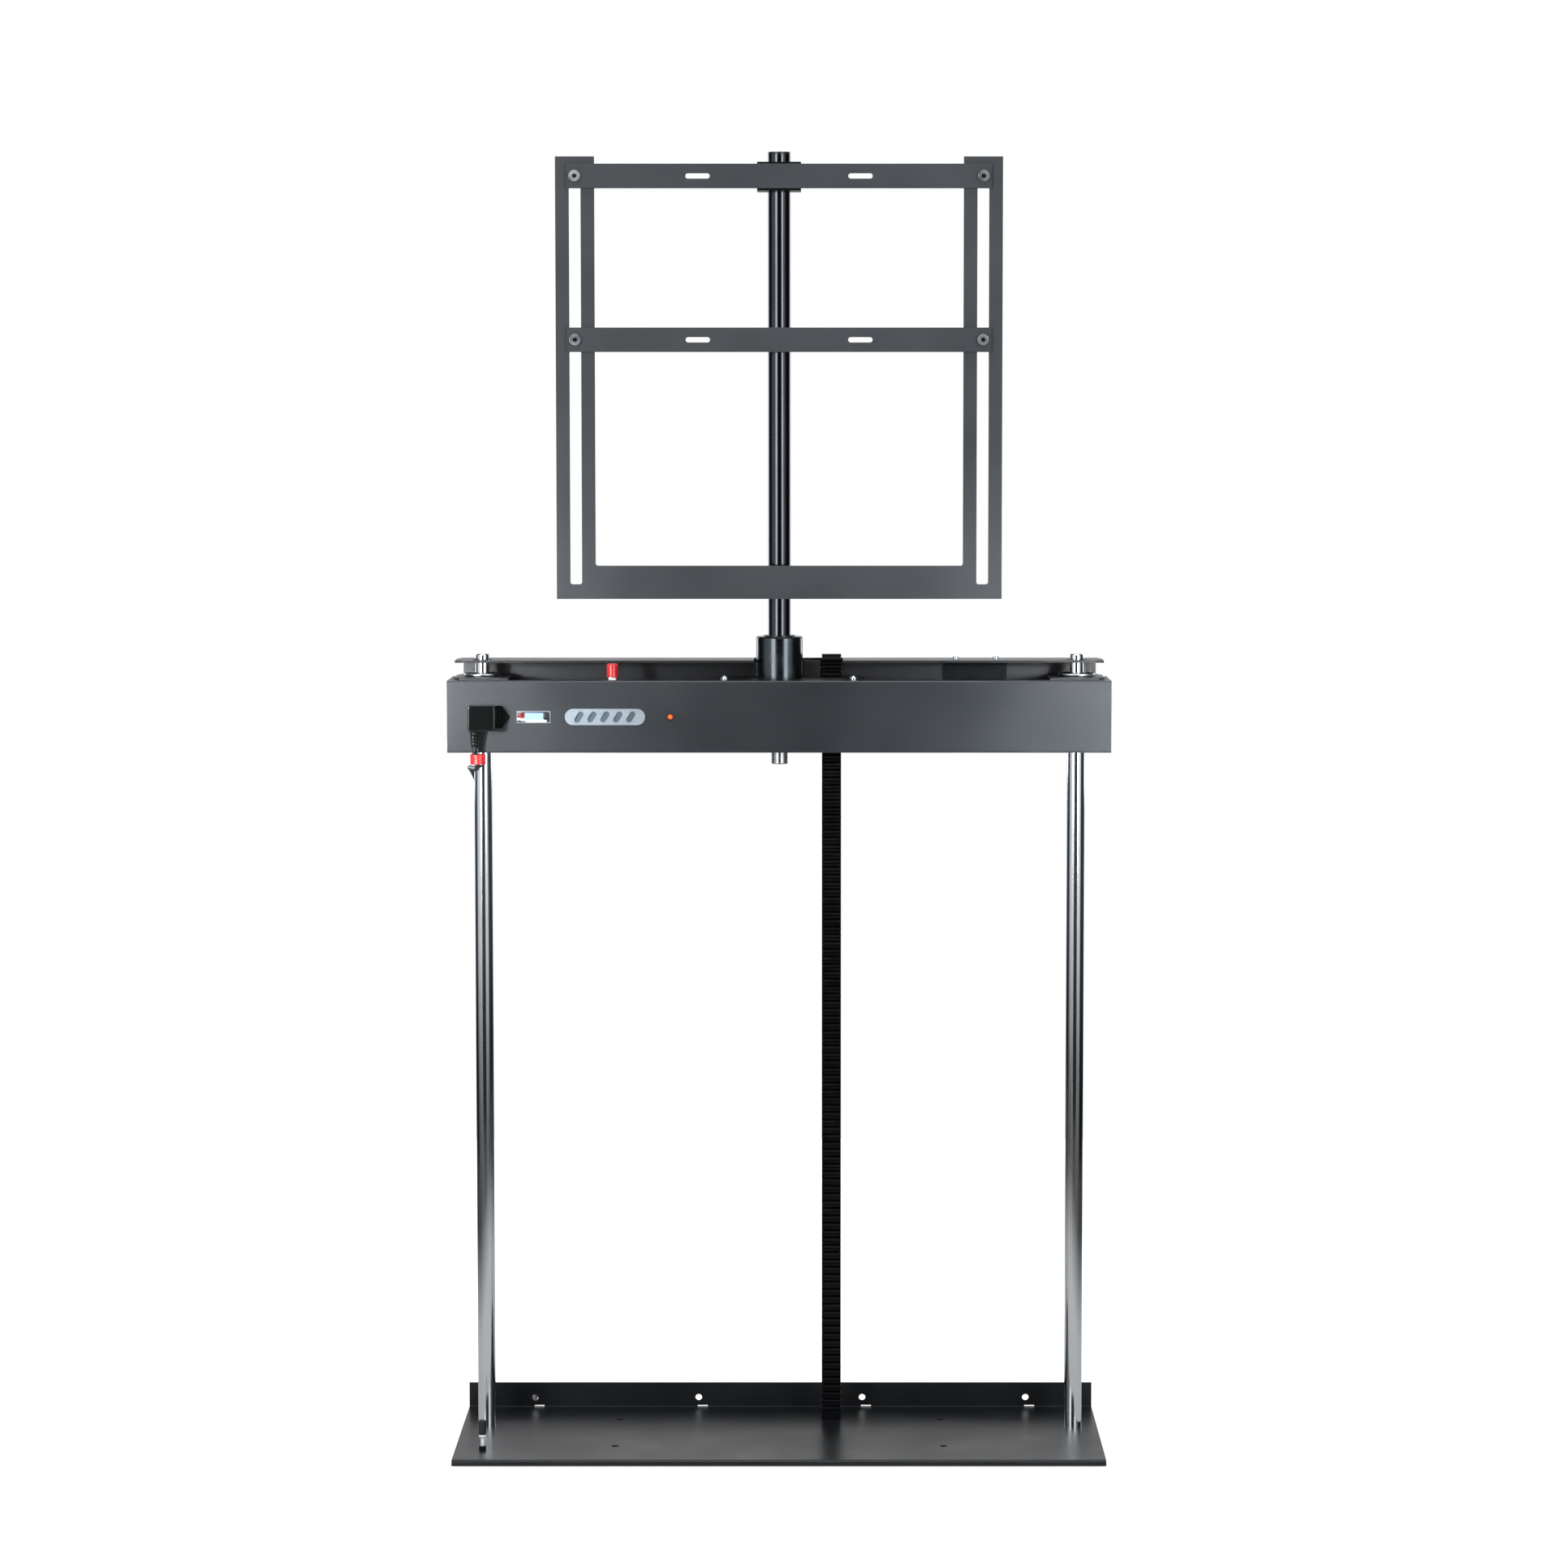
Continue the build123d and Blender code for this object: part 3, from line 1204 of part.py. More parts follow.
# Split clamps that hold the bracket's bar and the upper rail on the pole
clamp_places = ((bracket_bottom + bracket_bar_height / 2, bracket_back_y),
                (rail_upper_z, bracket_front_face_y))
with BuildPart() as pole_clamps:
    for clamp_z, front_face_y in clamp_places:
        low, high = clamp_z - clamp_height / 2, clamp_z + clamp_height / 2
        block(-clamp_width / 2, clamp_width / 2, front_face_y, column_y - clamp_split / 2, low, high)
        block(-clamp_width / 2, clamp_width / 2, column_y + clamp_split / 2,
              column_y + clamp_split / 2 + clamp_back_depth, low, high)
        upright(0, column_y, low - overrun, high + overrun, pole_radius, Mode.SUBTRACT)
        for side in (-1, 1):
            rod((side * clamp_bolt_x, column_y + clamp_back_depth + overrun, clamp_z), (0, -1, 0),
                clamp_bolt_radius, 2 * clamp_back_depth, Mode.SUBTRACT)
pole_clamps.part.label = "pole_clamps"
export_step(pole_clamps.part, "parts/pole_clamps.step")

with BuildPart() as clamp_bolts:
    for clamp_z, front_face_y in clamp_places:
        for side in (-1, 1):
            screw((side * clamp_bolt_x, column_y + clamp_split / 2 + clamp_back_depth, clamp_z),
                  (0, -1, 0), clamp_bolt_radius, 2 * clamp_back_depth - 2 * loose_gap,
                  clamp_head_radius, clamp_head_height)
clamp_bolts.part.label = "clamp_bolts"
export_step(clamp_bolts.part, "parts/clamp_bolts.step")

# Bolts, washers and nuts that hold the rails in the arms' slots
rail_front_y = bracket_front_face_y - bracket_plate
rail_washer_y = bracket_back_y + rail_washer_height
with BuildPart() as rail_bolts:
    for bolt_z in (rail_lower_z, rail_upper_z):
        for side in (-1, 1):
            screw((side * arm_slot_x, rail_front_y, bolt_z), (0, 1, 0), rail_bolt_radius,
                  2 * bracket_plate + rail_washer_height + rail_nut_height, rail_head_radius,
                  rail_head_height)
rail_bolts.part.label = "rail_bolts"
export_step(rail_bolts.part, "parts/rail_bolts.step")

with BuildPart() as rail_nuts:
    for bolt_z in (rail_lower_z, rail_upper_z):
        for side in (-1, 1):
            bolt_x = side * arm_slot_x
            rod((bolt_x, bracket_back_y, bolt_z), (0, 1, 0), rail_washer_radius, rail_washer_height)
            with BuildSketch(Plane(origin=(bolt_x, rail_washer_y, bolt_z), z_dir=(0, 1, 0))) as nut:
                RegularPolygon(rail_nut_width / 2, 6, major_radius=False)
            extrude(nut.sketch, amount=rail_nut_height)
            rod((bolt_x, bracket_back_y, bolt_z), (0, 1, 0), rail_bolt_radius,
                rail_washer_height + rail_nut_height, Mode.SUBTRACT)
rail_nuts.part.label = "rail_nuts"
export_step(rail_nuts.part, "parts/rail_nuts.step")

# Mains cord. It drops from the plug, runs back under the box past the left column, hangs behind
# that column, passes over the base's back flange and lies coiled behind it.
plate_line_z = base_top + cord_radius + cord_gap
floor_line_z = cord_radius + cord_gap
crest_z = flange_top + cord_radius + crest_gap
left_x = -column_spacing / 2
hanging_end = (left_x - 7, 98, plate_line_z)
tail_end = (left_x + 10, 209, floor_line_z)
hanging_route = [
    (relief_x, relief_y, relief_low_z),
    (relief_x, relief_y, relief_low_z - 11),
    (relief_x + 2.5, relief_y + 6, relief_low_z - 21.5),
    (relief_x + 2, relief_y + 17, relief_low_z - 28),
    (left_x - 8, 5, 843),
    (left_x - 15.5, 26, 842.5),
    (left_x - 16.5, 47, 841),
    (left_x - 12.5, 59, 832),
    (left_x - 7.5, 65, 818),
    (left_x - 5, 66.5, 793),
    (left_x - 4, 67, 745),
    (left_x - 3.2, 66.5, 675),
    (left_x - 3, 66, 595),
    (left_x - 3.4, 65.4, 510),
    (left_x - 4, 65, 425),
    (left_x - 4.6, 65.2, 340),
    (left_x - 5.2, 65, 255),
    (left_x - 6, 64.6, 172),
    (left_x - 6.6, 64.2, 102),
    (left_x - 6.9, 64, 58),
    (left_x - 7, 65, 33),
    (left_x - 7, 72, 19.5),
    (hanging_end[0], 83, hanging_end[2]),
    hanging_end,
]
tail_route = [
    hanging_end,
    (hanging_end[0], 113, hanging_end[2]),
    (left_x - 7.2, 125, 19.7),
    (left_x - 7.3, 130, 33.8),
    (left_x - 7.4, 142, crest_z),
    (left_x - 7.5, 157, crest_z),
    (left_x - 5, 170, 33.3),
    (left_x + 2, 178, 12.3),
    (tail_end[0], 191, tail_end[2]),
    tail_end,
]
cord_hanging = cord_tube("cord_hanging", hanging_route, cord_radius)
cord_hanging.part.label = "cord_hanging"
export_step(cord_hanging.part, "parts/cord_hanging.step")

cord_tail = cord_tube("cord_tail", tail_route, cord_radius)
cord_tail.part.label = "cord_tail"
export_step(cord_tail.part, "parts/cord_tail.step")

# Loops on the floor: half circles that widen from the coil's eye, then a way out to the right
with BuildPart() as cord_coil:
    start_x, start_y, coil_z = tail_end
    cross_y = start_y + 2 * cord_radius
    cross_x = start_x
    with BuildLine() as coil_path:
        Line((start_x, start_y, coil_z), (start_x, cross_y, coil_z))
        for turn, radius in enumerate(coil_radii):
            side = 1 if turn % 2 == 0 else -1
            next_x = cross_x + side * 2 * radius
            ThreePointArc((cross_x, cross_y, coil_z),
                          (cross_x + side * radius, cross_y + side * radius, coil_z),
                          (next_x, cross_y, coil_z))
            cross_x = next_x
        exit_y = cross_y - coil_exit_radius
        exit_x = cross_x + coil_exit_radius
        TangentArc((cross_x, cross_y, coil_z), (exit_x, exit_y, coil_z), tangent=(0, -1, 0))
        plug_start_x = exit_x + 2 * cord_radius
        Line((exit_x, exit_y, coil_z), (plug_start_x, exit_y, coil_z))
    with BuildSketch(Plane(origin=tail_end, z_dir=(0, 1, 0))) as coil_section:
        Circle(cord_radius)
    sweep(coil_section.sketch, path=coil_path.wires()[0])
cord_coil.part.label = "cord_coil"
export_step(cord_coil.part, "parts/cord_coil.step")


def least_coil_gap(wire, steps_per_mm=0.5):
    """The least free distance between turns, on points more than a quarter turn apart."""
    count = round(wire.length * steps_per_mm)
    points = [wire.position_at(step / count) for step in range(count + 1)]
    spacing = wire.length / count
    apart = round(math.pi * coil_radii[0] / 2 / spacing) + 1
    least = min((points[first] - points[second]).length
                for first in range(count + 1) for second in range(first + apart, count + 1))
    return least - 2 * cord_radius


coil_wire = coil_path.wires()[0]
coil_share = cord_coil.part.volume / (math.pi * cord_radius ** 2 * coil_wire.length)
print("cord_coil length", round(coil_wire.length), "volume share", round(coil_share, 4),
      "least gap", round(least_coil_gap(coil_wire), 2))

# Mains plug lying on the floor at the cord's far end
with BuildPart() as mains_plug:
    relief_end_x = plug_start_x + mains_relief_length
    body_end_x = relief_end_x + mains_plug_length
    plug_mid_z = cord_gap + mains_plug_height / 2
    block(relief_end_x, body_end_x, exit_y - mains_plug_width / 2, exit_y + mains_plug_width / 2,
          cord_gap, cord_gap + mains_plug_height)
    fillet(mains_plug.edges().filter_by(Axis.X), mains_plug_round)
    rod((plug_start_x, exit_y, cord_gap + mains_relief_radius), (1, 0, 0), mains_relief_radius,
        mains_relief_length + mains_plug_round)
mains_plug.part.label = "mains_plug"
export_step(mains_plug.part, "parts/mains_plug.step")

# Brass blades and earth pin
with BuildPart() as mains_pins:
    for side in (-1, 1):
        blade_y = exit_y + side * mains_blade_pitch / 2
        block(body_end_x, body_end_x + mains_blade_length, blade_y - mains_blade_sheet / 2,
              blade_y + mains_blade_sheet / 2, plug_mid_z, plug_mid_z + mains_blade_width)
    rod((body_end_x, exit_y, plug_mid_z - mains_blade_width), (1, 0, 0), mains_earth_radius,
        mains_earth_length)
mains_pins.part.label = "mains_pins"
export_step(mains_pins.part, "parts/mains_pins.step")

# Loose red ring on the cord just under the box
with BuildPart() as cord_ring:
    ring_top = cover_bottom - loose_gap
    ring_x = relief_x + ring_offset_x
    ring_y = relief_y + ring_offset_y
    upright(ring_x, ring_y, ring_top - ring_length, ring_top, ring_outer_radius)
    upright(ring_x, ring_y, ring_top - ring_length - overrun, ring_top + overrun,
            ring_bore_radius, Mode.SUBTRACT)
cord_ring.part.label = "cord_ring"
export_step(cord_ring.part, "parts/cord_ring.step")
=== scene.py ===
import math

import bmesh
import bpy
import numpy as np
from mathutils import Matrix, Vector


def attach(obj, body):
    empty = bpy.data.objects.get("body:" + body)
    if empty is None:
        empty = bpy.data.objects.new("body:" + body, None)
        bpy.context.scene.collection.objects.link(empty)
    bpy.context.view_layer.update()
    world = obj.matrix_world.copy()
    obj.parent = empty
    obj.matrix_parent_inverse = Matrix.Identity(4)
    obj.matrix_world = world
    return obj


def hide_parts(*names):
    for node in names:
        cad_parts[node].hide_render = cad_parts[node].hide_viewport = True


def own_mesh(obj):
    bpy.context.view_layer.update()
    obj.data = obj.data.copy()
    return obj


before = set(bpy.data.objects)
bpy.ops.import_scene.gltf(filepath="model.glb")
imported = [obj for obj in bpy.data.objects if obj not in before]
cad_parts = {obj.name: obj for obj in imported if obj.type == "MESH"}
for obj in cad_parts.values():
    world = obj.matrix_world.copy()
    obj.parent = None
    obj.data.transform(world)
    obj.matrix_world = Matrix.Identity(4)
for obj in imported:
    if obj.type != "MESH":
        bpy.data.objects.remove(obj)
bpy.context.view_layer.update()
MM = 0.001


# Camera: five and a half metres in front, at chest height, tipped down a little
EYE = (0.038, -5.537, 1.295)
TIP_DOWN = math.radians(4.86)
FOCAL_PIXELS = 5527
IMAGE_PIXELS = 1932
SENSOR_MM = 36
LEVEL_SHIFT_PIXELS = 32

camera_data = bpy.data.cameras.new("camera")
camera_data.sensor_width = SENSOR_MM
camera_data.lens = SENSOR_MM * FOCAL_PIXELS / IMAGE_PIXELS
camera_data.shift_x = -LEVEL_SHIFT_PIXELS / IMAGE_PIXELS
camera = bpy.data.objects.new("camera", camera_data)
camera.location = EYE
camera.rotation_euler = (math.pi / 2 - TIP_DOWN, 0, 0)
bpy.context.collection.objects.link(camera)
bpy.context.scene.camera = camera
bpy.context.scene.view_settings.view_transform = "Standard"


# Colour and node helpers
def linear(code):
    """An sRGB hex colour as linear red, green, blue and alpha."""
    values = np.array([int(code[place:place + 2], 16) for place in (1, 3, 5)]) / 255
    low = values / 12.92
    high = ((values + 0.055) / 1.055) ** 2.4
    return (*np.where(values <= 0.04045, low, high), 1.0)


def add(tree, kind, settings=None, links=None):
    """One shader node with its settings, and links from other nodes' sockets to its inputs."""
    made = tree.nodes.new(kind)
    for key, value in (settings or {}).items():
        if isinstance(key, int) or key in made.inputs:
            made.inputs[key].default_value = value
        else:
            setattr(made, key, value)
    for key, socket in (links or {}).items():
        tree.links.new(socket, made.inputs[key])
    return made


def blank(name):
    """An empty node material and its tree."""
    material = bpy.data.materials.new(name)
    material.use_nodes = True
    material.node_tree.nodes.clear()
    return material, material.node_tree


def close(tree, shader):
    """Links a shader to the material's output."""
    add(tree, "ShaderNodeOutputMaterial", None, {"Surface": shader.outputs["BSDF"]})


def stretched_noise(tree, size_mm, stretch=(1, 1, 1), detail=3):
    """Noise on Object coordinates whose grains are size_mm across, drawn out along an axis."""
    place = add(tree, "ShaderNodeTexCoord")
    mapped = add(tree, "ShaderNodeMapping", {"Scale": stretch},
                 {"Vector": place.outputs["Object"]})
    return add(tree, "ShaderNodeTexNoise",
               {"Scale": 1 / (size_mm * MM), "Detail": detail, "Roughness": 0.55},
               {"Vector": mapped.outputs["Vector"]})


def spread(tree, source, low, high):
    """A noise value mapped to a range."""
    return add(tree, "ShaderNodeMapRange",
               {"From Min": 0.3, "From Max": 0.7, "To Min": low, "To Max": high},
               {"Value": source.outputs["Fac"]})


def tinted(tree, source, dark, light):
    """A colour between two hex values, led by a noise."""
    return add(tree, "ShaderNodeMix", {"data_type": "RGBA", 6: linear(dark), 7: linear(light)},
               {0: source.outputs["Fac"]})


def rounded_normal(tree, radius_mm, height, strength, distance_mm):
    """Bump laid over edges that the shader rounds off by a small radius."""
    edge = add(tree, "ShaderNodeBevel", {"samples": 4, "Radius": radius_mm * MM})
    return add(tree, "ShaderNodeBump", {"Strength": strength, "Distance": distance_mm * MM},
               {"Height": height.outputs["Fac"], "Normal": edge.outputs["Normal"]})


# Finishes
def powder_coat(name, dark, light, rough, coat, peel_strength=0.22, shine=0.5):
    """Satin polyester powder on folded steel: a fine orange peel softens the reflections and the
    colour drifts a little over a hand's width. The peel is 1 mm in truth and drawn at 3 mm."""
    material, tree = blank(name)
    cloud = stretched_noise(tree, 130, detail=2)
    peel = stretched_noise(tree, 3, detail=4)
    colour = tinted(tree, cloud, dark, light)
    rub = spread(tree, cloud, rough - 0.05, rough + 0.05)
    normal = rounded_normal(tree, 0.9, peel, peel_strength, 0.12)
    close(tree, add(tree, "ShaderNodeBsdfPrincipled",
                    {"IOR": 1.5, "Specular IOR Level": shine, "Coat Weight": coat,
                     "Coat Roughness": 0.16},
                    {"Base Color": colour.outputs[2], "Roughness": rub.outputs["Result"],
                     "Normal": normal.outputs["Normal"]}))
    return material


def ground_plating(name, dark, light, rough, grain_mm, along):
    """Plated round bar, ground across its length: mirror bright with faint lines round it."""
    material, tree = blank(name)
    lines = stretched_noise(tree, grain_mm, stretch=along, detail=3)
    bloom = stretched_noise(tree, 60, detail=2)
    colour = tinted(tree, bloom, dark, light)
    rub = spread(tree, lines, rough * 0.7, rough * 1.5)
    normal = rounded_normal(tree, 0.5, lines, 0.03, 0.04)
    close(tree, add(tree, "ShaderNodeBsdfPrincipled", {"Metallic": 1.0},
                    {"Base Color": colour.outputs[2], "Roughness": rub.outputs["Result"],
                     "Normal": normal.outputs["Normal"]}))
    return material


def worked_metal(name, dark, light, rough, grain_mm, bump, metallic=1.0):
    """Turned, blackened, cast or zinc-plated metal: blotches of tone over a fine tool grain."""
    material, tree = blank(name)
    blotch = stretched_noise(tree, grain_mm * 6, detail=4)
    grain = stretched_noise(tree, grain_mm, detail=3)
    colour = tinted(tree, blotch, dark, light)
    rub = spread(tree, blotch, rough - 0.06, rough + 0.08)
    normal = rounded_normal(tree, 0.6, grain, bump, 0.1)
    close(tree, add(tree, "ShaderNodeBsdfPrincipled", {"Metallic": metallic},
                    {"Base Color": colour.outputs[2], "Roughness": rub.outputs["Result"],
                     "Normal": normal.outputs["Normal"]}))
    return material


def moulded(name, dark, light, rough, grain_mm, bump, coat=0.0):
    """Injection-moulded plastic or rubber: spark-eroded grain, soft gloss, slight flow marks."""
    material, tree = blank(name)
    flow = stretched_noise(tree, grain_mm * 14, stretch=(1, 1, 2.5), detail=2)
    grain = stretched_noise(tree, grain_mm, detail=4)
    colour = tinted(tree, flow, dark, light)
    rub = spread(tree, grain, rough - 0.05, rough + 0.07)
    normal = rounded_normal(tree, 0.7, grain, bump, 0.08)
    close(tree, add(tree, "ShaderNodeBsdfPrincipled",
                    {"IOR": 1.49, "Coat Weight": coat, "Coat Roughness": 0.12},
                    {"Base Color": colour.outputs[2], "Roughness": rub.outputs["Result"],
                     "Normal": normal.outputs["Normal"]}))
    return material


def lacquered_board(name):
    """Glass-fibre board under green lacquer: fine tracks show as a darker net, 4 mm apart."""
    material, tree = blank(name)
    place = add(tree, "ShaderNodeTexCoord")
    turned = add(tree, "ShaderNodeMapping", {"Rotation": (math.pi / 2, 0, 0)},
                 {"Vector": place.outputs["Object"]})
    tracks = add(tree, "ShaderNodeTexBrick",
                 {"Color1": linear("#1f6b3f"), "Color2": linear("#237545"),
                  "Mortar": linear("#14512e"), "Scale": 60, "Mortar Size": 0.03},
                 {"Vector": turned.outputs["Vector"]})
    bump = add(tree, "ShaderNodeBump", {"Strength": 0.3, "Distance": 0.1 * MM},
               {"Height": tracks.outputs["Fac"]})
    close(tree, add(tree, "ShaderNodeBsdfPrincipled", {"Roughness": 0.28, "Coat Weight": 0.4},
                    {"Base Color": tracks.outputs["Color"], "Normal": bump.outputs["Normal"]}))
    return material


def lit_lens(name):
    """Tinted polycarbonate over a lit diode: warm from inside, glossy outside."""
    material, tree = blank(name)
    swirl = stretched_noise(tree, 2, detail=2)
    colour = tinted(tree, swirl, "#ff4a14", "#ff7a33")
    close(tree, add(tree, "ShaderNodeBsdfPrincipled",
                    {"Roughness": 0.12, "IOR": 1.58, "Emission Strength": 0.9,
                     "Emission Color": linear("#ff5a1e")},
                    {"Base Color": colour.outputs[2]}))
    return material


charcoal_coat = powder_coat("charcoal_powder_coat", "#272b2f", "#2f3439", 0.34, 0.3)
# The cover's charcoal coat again, made darker for the channel, end plates and collar plate: the
# extra dark is painted shade
charcoal_coat_painted_shade = powder_coat("charcoal_powder_coat_painted_shade", "#191b1e", "#212327", 0.36, 0.2)
base_coat = powder_coat("semi_gloss_black_powder_coat", "#111316", "#171a1e", 0.31, 0.0, 0.06,
                        0.4)
bracket_coat = powder_coat("graphite_powder_coat", "#34383c", "#3f4348", 0.40, 0.15)
column_chrome = ground_plating("hard_chrome_bar", "#c9ced2", "#dfe3e6", 0.09, 2, (1, 1, 30))
mast_chrome = ground_plating("black_chrome_tube", "#3c3f43", "#4b4e52", 0.1, 2, (1, 1, 30))
blackened_steel = worked_metal("oiled_black_oxide_steel", "#0f1012", "#1b1d20", 0.34, 3, 0.2, 0.75)
collar_steel = worked_metal("satin_black_turned_steel", "#3d4346", "#53595d", 0.2, 2, 0.08)
zinc_steel = worked_metal("bright_zinc_plated_steel", "#a9b2b8", "#d2d8db", 0.28, 3, 0.15)
turned_steel = worked_metal("turned_steel", "#9ea3a6", "#c3c7c9", 0.24, 1.5, 0.12)
cast_alloy = worked_metal("die_cast_aluminium", "#8d9194", "#aeb2b4", 0.42, 2, 0.3)
motor_enamel = moulded("baked_black_enamel", "#141517", "#1e2022", 0.35, 2, 0.1, 0.4)
black_moulding = moulded("black_pvc_moulding", "#0e0f10", "#17181a", 0.34, 1.5, 0.25, 0.25)
gloss_moulding = moulded("glossy_black_pvc_moulding", "#050606", "#0a0b0b", 0.13, 1.5, 0.04, 0.3)
white_moulding = moulded("white_nylon_moulding", "#e6e7e4", "#f4f4f1", 0.42, 2, 0.12)
pale_moulding = moulded("pale_grey_abs_moulding", "#86929c", "#9faab4", 0.3, 2, 0.1, 0.3)
blue_moulding = moulded("pale_blue_pbt_moulding", "#7fa9d2", "#98bce0", 0.38, 2, 0.1)
red_moulding = moulded("red_pvc_moulding", "#c21a1f", "#e0282c", 0.25, 2, 0.08, 0.5)
ivory_moulding = moulded("ivory_acetal_bush", "#d8d3c2", "#e6e2d4", 0.36, 2, 0.08)
rubber_black = moulded("black_nitrile_rubber", "#101112", "#1a1b1c", 0.62, 1.5, 0.35)
cord_jacket = moulded("black_pvc_cord_jacket", "#0d0e0f", "#161718", 0.38, 1.5, 0.3, 0.15)
wire_brown = moulded("brown_wire_insulation", "#5e2a20", "#753629", 0.35, 1, 0.1)
brass_pins = worked_metal("stamped_brass", "#a98a45", "#cdb06a", 0.25, 1.5, 0.1)
board_green = lacquered_board("green_lacquered_board")
amber_lens = lit_lens("amber_polycarbonate_lens")

NODE_FINISH = {
    charcoal_coat: ("front_cover",),
    charcoal_coat_painted_shade: ("carriage_channel", "end_plates", "collar_plate"),
    base_coat: ("base_plate",),
    bracket_coat: ("u_bracket", "screen_rails"),
    column_chrome: ("column_left", "column_right", "column_plugs"),
    mast_chrome: ("pole",),
    blackened_steel: ("rack", "rack_foot", "stop_nut", "bearing_housings", "pole_clamps",
                      "motor_hanger"),
    collar_steel: ("pole_collar",),
    zinc_steel: ("foot_screws", "dome_nuts", "drive_bracket", "machine_screws",
                 "roller_bracket", "clamp_bolts", "rail_bolts", "rail_nuts"),
    turned_steel: ("drive_shaft", "pinion", "backing_roller", "roller_pin", "pole_spindle"),
    cast_alloy: ("gearbox", "power_supply"),
    motor_enamel: ("motor_can",),
    black_moulding: ("limit_switch", "mains_plug", "pole_cap", "pole_bearings"),
    gloss_moulding: ("inlet_housing", "inlet_plug"),
    white_moulding: ("stop_spacer", "board_spacers", "wire_sleeve"),
    pale_moulding: ("vent_insert", "port_shell"),
    blue_moulding: ("port_block", "board_relays"),
    red_moulding: ("cord_ring", "wire_cap"),
    ivory_moulding: ("guide_bushes",),
    rubber_black: ("base_pads", "stop_tip"),
    cord_jacket: ("motor_lead",),
    brass_pins: ("shaft_bush", "mains_pins"),
    board_green: ("control_board",),
    amber_lens: ("lamp_lens",),
}
for finish, names in NODE_FINISH.items():
    for node_name in names:
        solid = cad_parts[node_name]
        if not solid.material_slots:
            solid.data.materials.append(finish)
        for place in solid.material_slots:
            place.material = finish


# Surfaces worked out on a grid
WELD_GAP = 1e-6
SHARP_FROM = math.radians(50)


def grid_piece(name, points, finish, body):
    """A quad surface over a grid of points: each row joins the next and the last joins the first,
    and each column joins the next. Points that fall together at a pole or where a profile closes
    are welded, and the faces are turned outwards."""
    rows, columns = points.shape[:2]
    low, left = np.meshgrid(np.arange(rows), np.arange(columns - 1), indexing="ij")
    high, right = (low + 1) % rows, left + 1
    faces = np.stack([low * columns + left, high * columns + left,
                      high * columns + right, low * columns + right], -1).reshape(-1, 4)
    mesh = bpy.data.meshes.new(name)
    mesh.from_pydata(points.reshape(-1, 3).tolist(), [], faces.tolist())
    welded = bmesh.new()
    welded.from_mesh(mesh)
    bmesh.ops.remove_doubles(welded, verts=welded.verts, dist=WELD_GAP)
    bmesh.ops.recalc_face_normals(welded, faces=welded.faces)
    welded.to_mesh(mesh)
    welded.free()
    mesh.polygons.foreach_set("use_smooth", np.ones(len(mesh.polygons), bool))
    mesh.set_sharp_from_angle(angle=SHARP_FROM)
    mesh.update()
    mesh.materials.append(finish)
    made = bpy.data.objects.new(name, mesh)
    bpy.context.collection.objects.link(made)
    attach(made, body)
    return made


def turned_piece(name, profile_mm, origin_mm, axis, finish, body, sides=48):
    """Lathe form: each profile pair is a radius and a height along the axis, and the surface is
    origin + height * axis + radius * (cos a, sin a) in the plane across the axis."""
    along = np.array(axis, float)
    across = np.array([1.0, 0, 0]) if abs(along[0]) < 0.5 else np.array([0, 1.0, 0])
    across = across - along * (across @ along)
    across /= np.linalg.norm(across)
    third = np.cross(along, across)
    angle = np.linspace(0, 2 * math.pi, sides, endpoint=False)[:, None, None]
    profile = np.array(profile_mm, float)
    radius, height = profile[None, :, 0, None], profile[None, :, 1, None]
    points = (np.array(origin_mm, float) + height * along
              + radius * (np.cos(angle) * across + np.sin(angle) * third)) * MM
    return grid_piece(name, points, finish, body)


def tube_piece(name, path, radius, finish, body, sides):
    """A round tube with flat ends: rings of the given radius carried along a path, each square to
    it. A ring's first direction is the one before's with its part along the path taken out."""
    path = np.asarray(path, float)
    tangent = np.gradient(path, axis=0)
    tangent /= np.linalg.norm(tangent, axis=1)[:, None]
    start = np.array([1.0, 0, 0]) if abs(tangent[0, 0]) < 0.8 else np.array([0, 1.0, 0])
    normals = [start - tangent[0] * (start @ tangent[0])]
    for direction in tangent[1:]:
        normals.append(normals[-1] - direction * (normals[-1] @ direction))
    normals = np.array(normals)
    normals /= np.linalg.norm(normals, axis=1)[:, None]
    third = np.cross(tangent, normals)
    angle = np.linspace(0, 2 * math.pi, sides, endpoint=False)[:, None, None]
    rings = path + radius * (np.cos(angle) * normals + np.sin(angle) * third)
    ends = np.repeat(path[[0, -1]][None], sides, 0)
    points = np.concatenate([ends[:, :1], rings, ends[:, 1:]], 1)
    return grid_piece(name, points, finish, body)


def pillow_block(name, centre_mm, half_mm, power, finish, body, steps):
    """A block with rounded edges, given by its centre and half its size: a superellipsoid, whose
    sine and cosine are raised to a small power so that its faces flatten and its edges stay
    soft."""
    def eased(value):
        return np.sign(value) * np.abs(value) ** power
    lap = np.linspace(-math.pi, math.pi, 2 * steps, endpoint=False)[:, None]
    rise = np.linspace(-math.pi / 2, math.pi / 2, steps + 1)[None, :]
    unit = np.stack([eased(np.cos(rise)) * eased(np.cos(lap)),
                     eased(np.cos(rise)) * eased(np.sin(lap)),
                     eased(np.sin(rise)) * np.ones_like(lap)], -1)
    points = (np.array(centre_mm) + unit * np.array(half_mm)) * MM
    return grid_piece(name, points, finish, body)


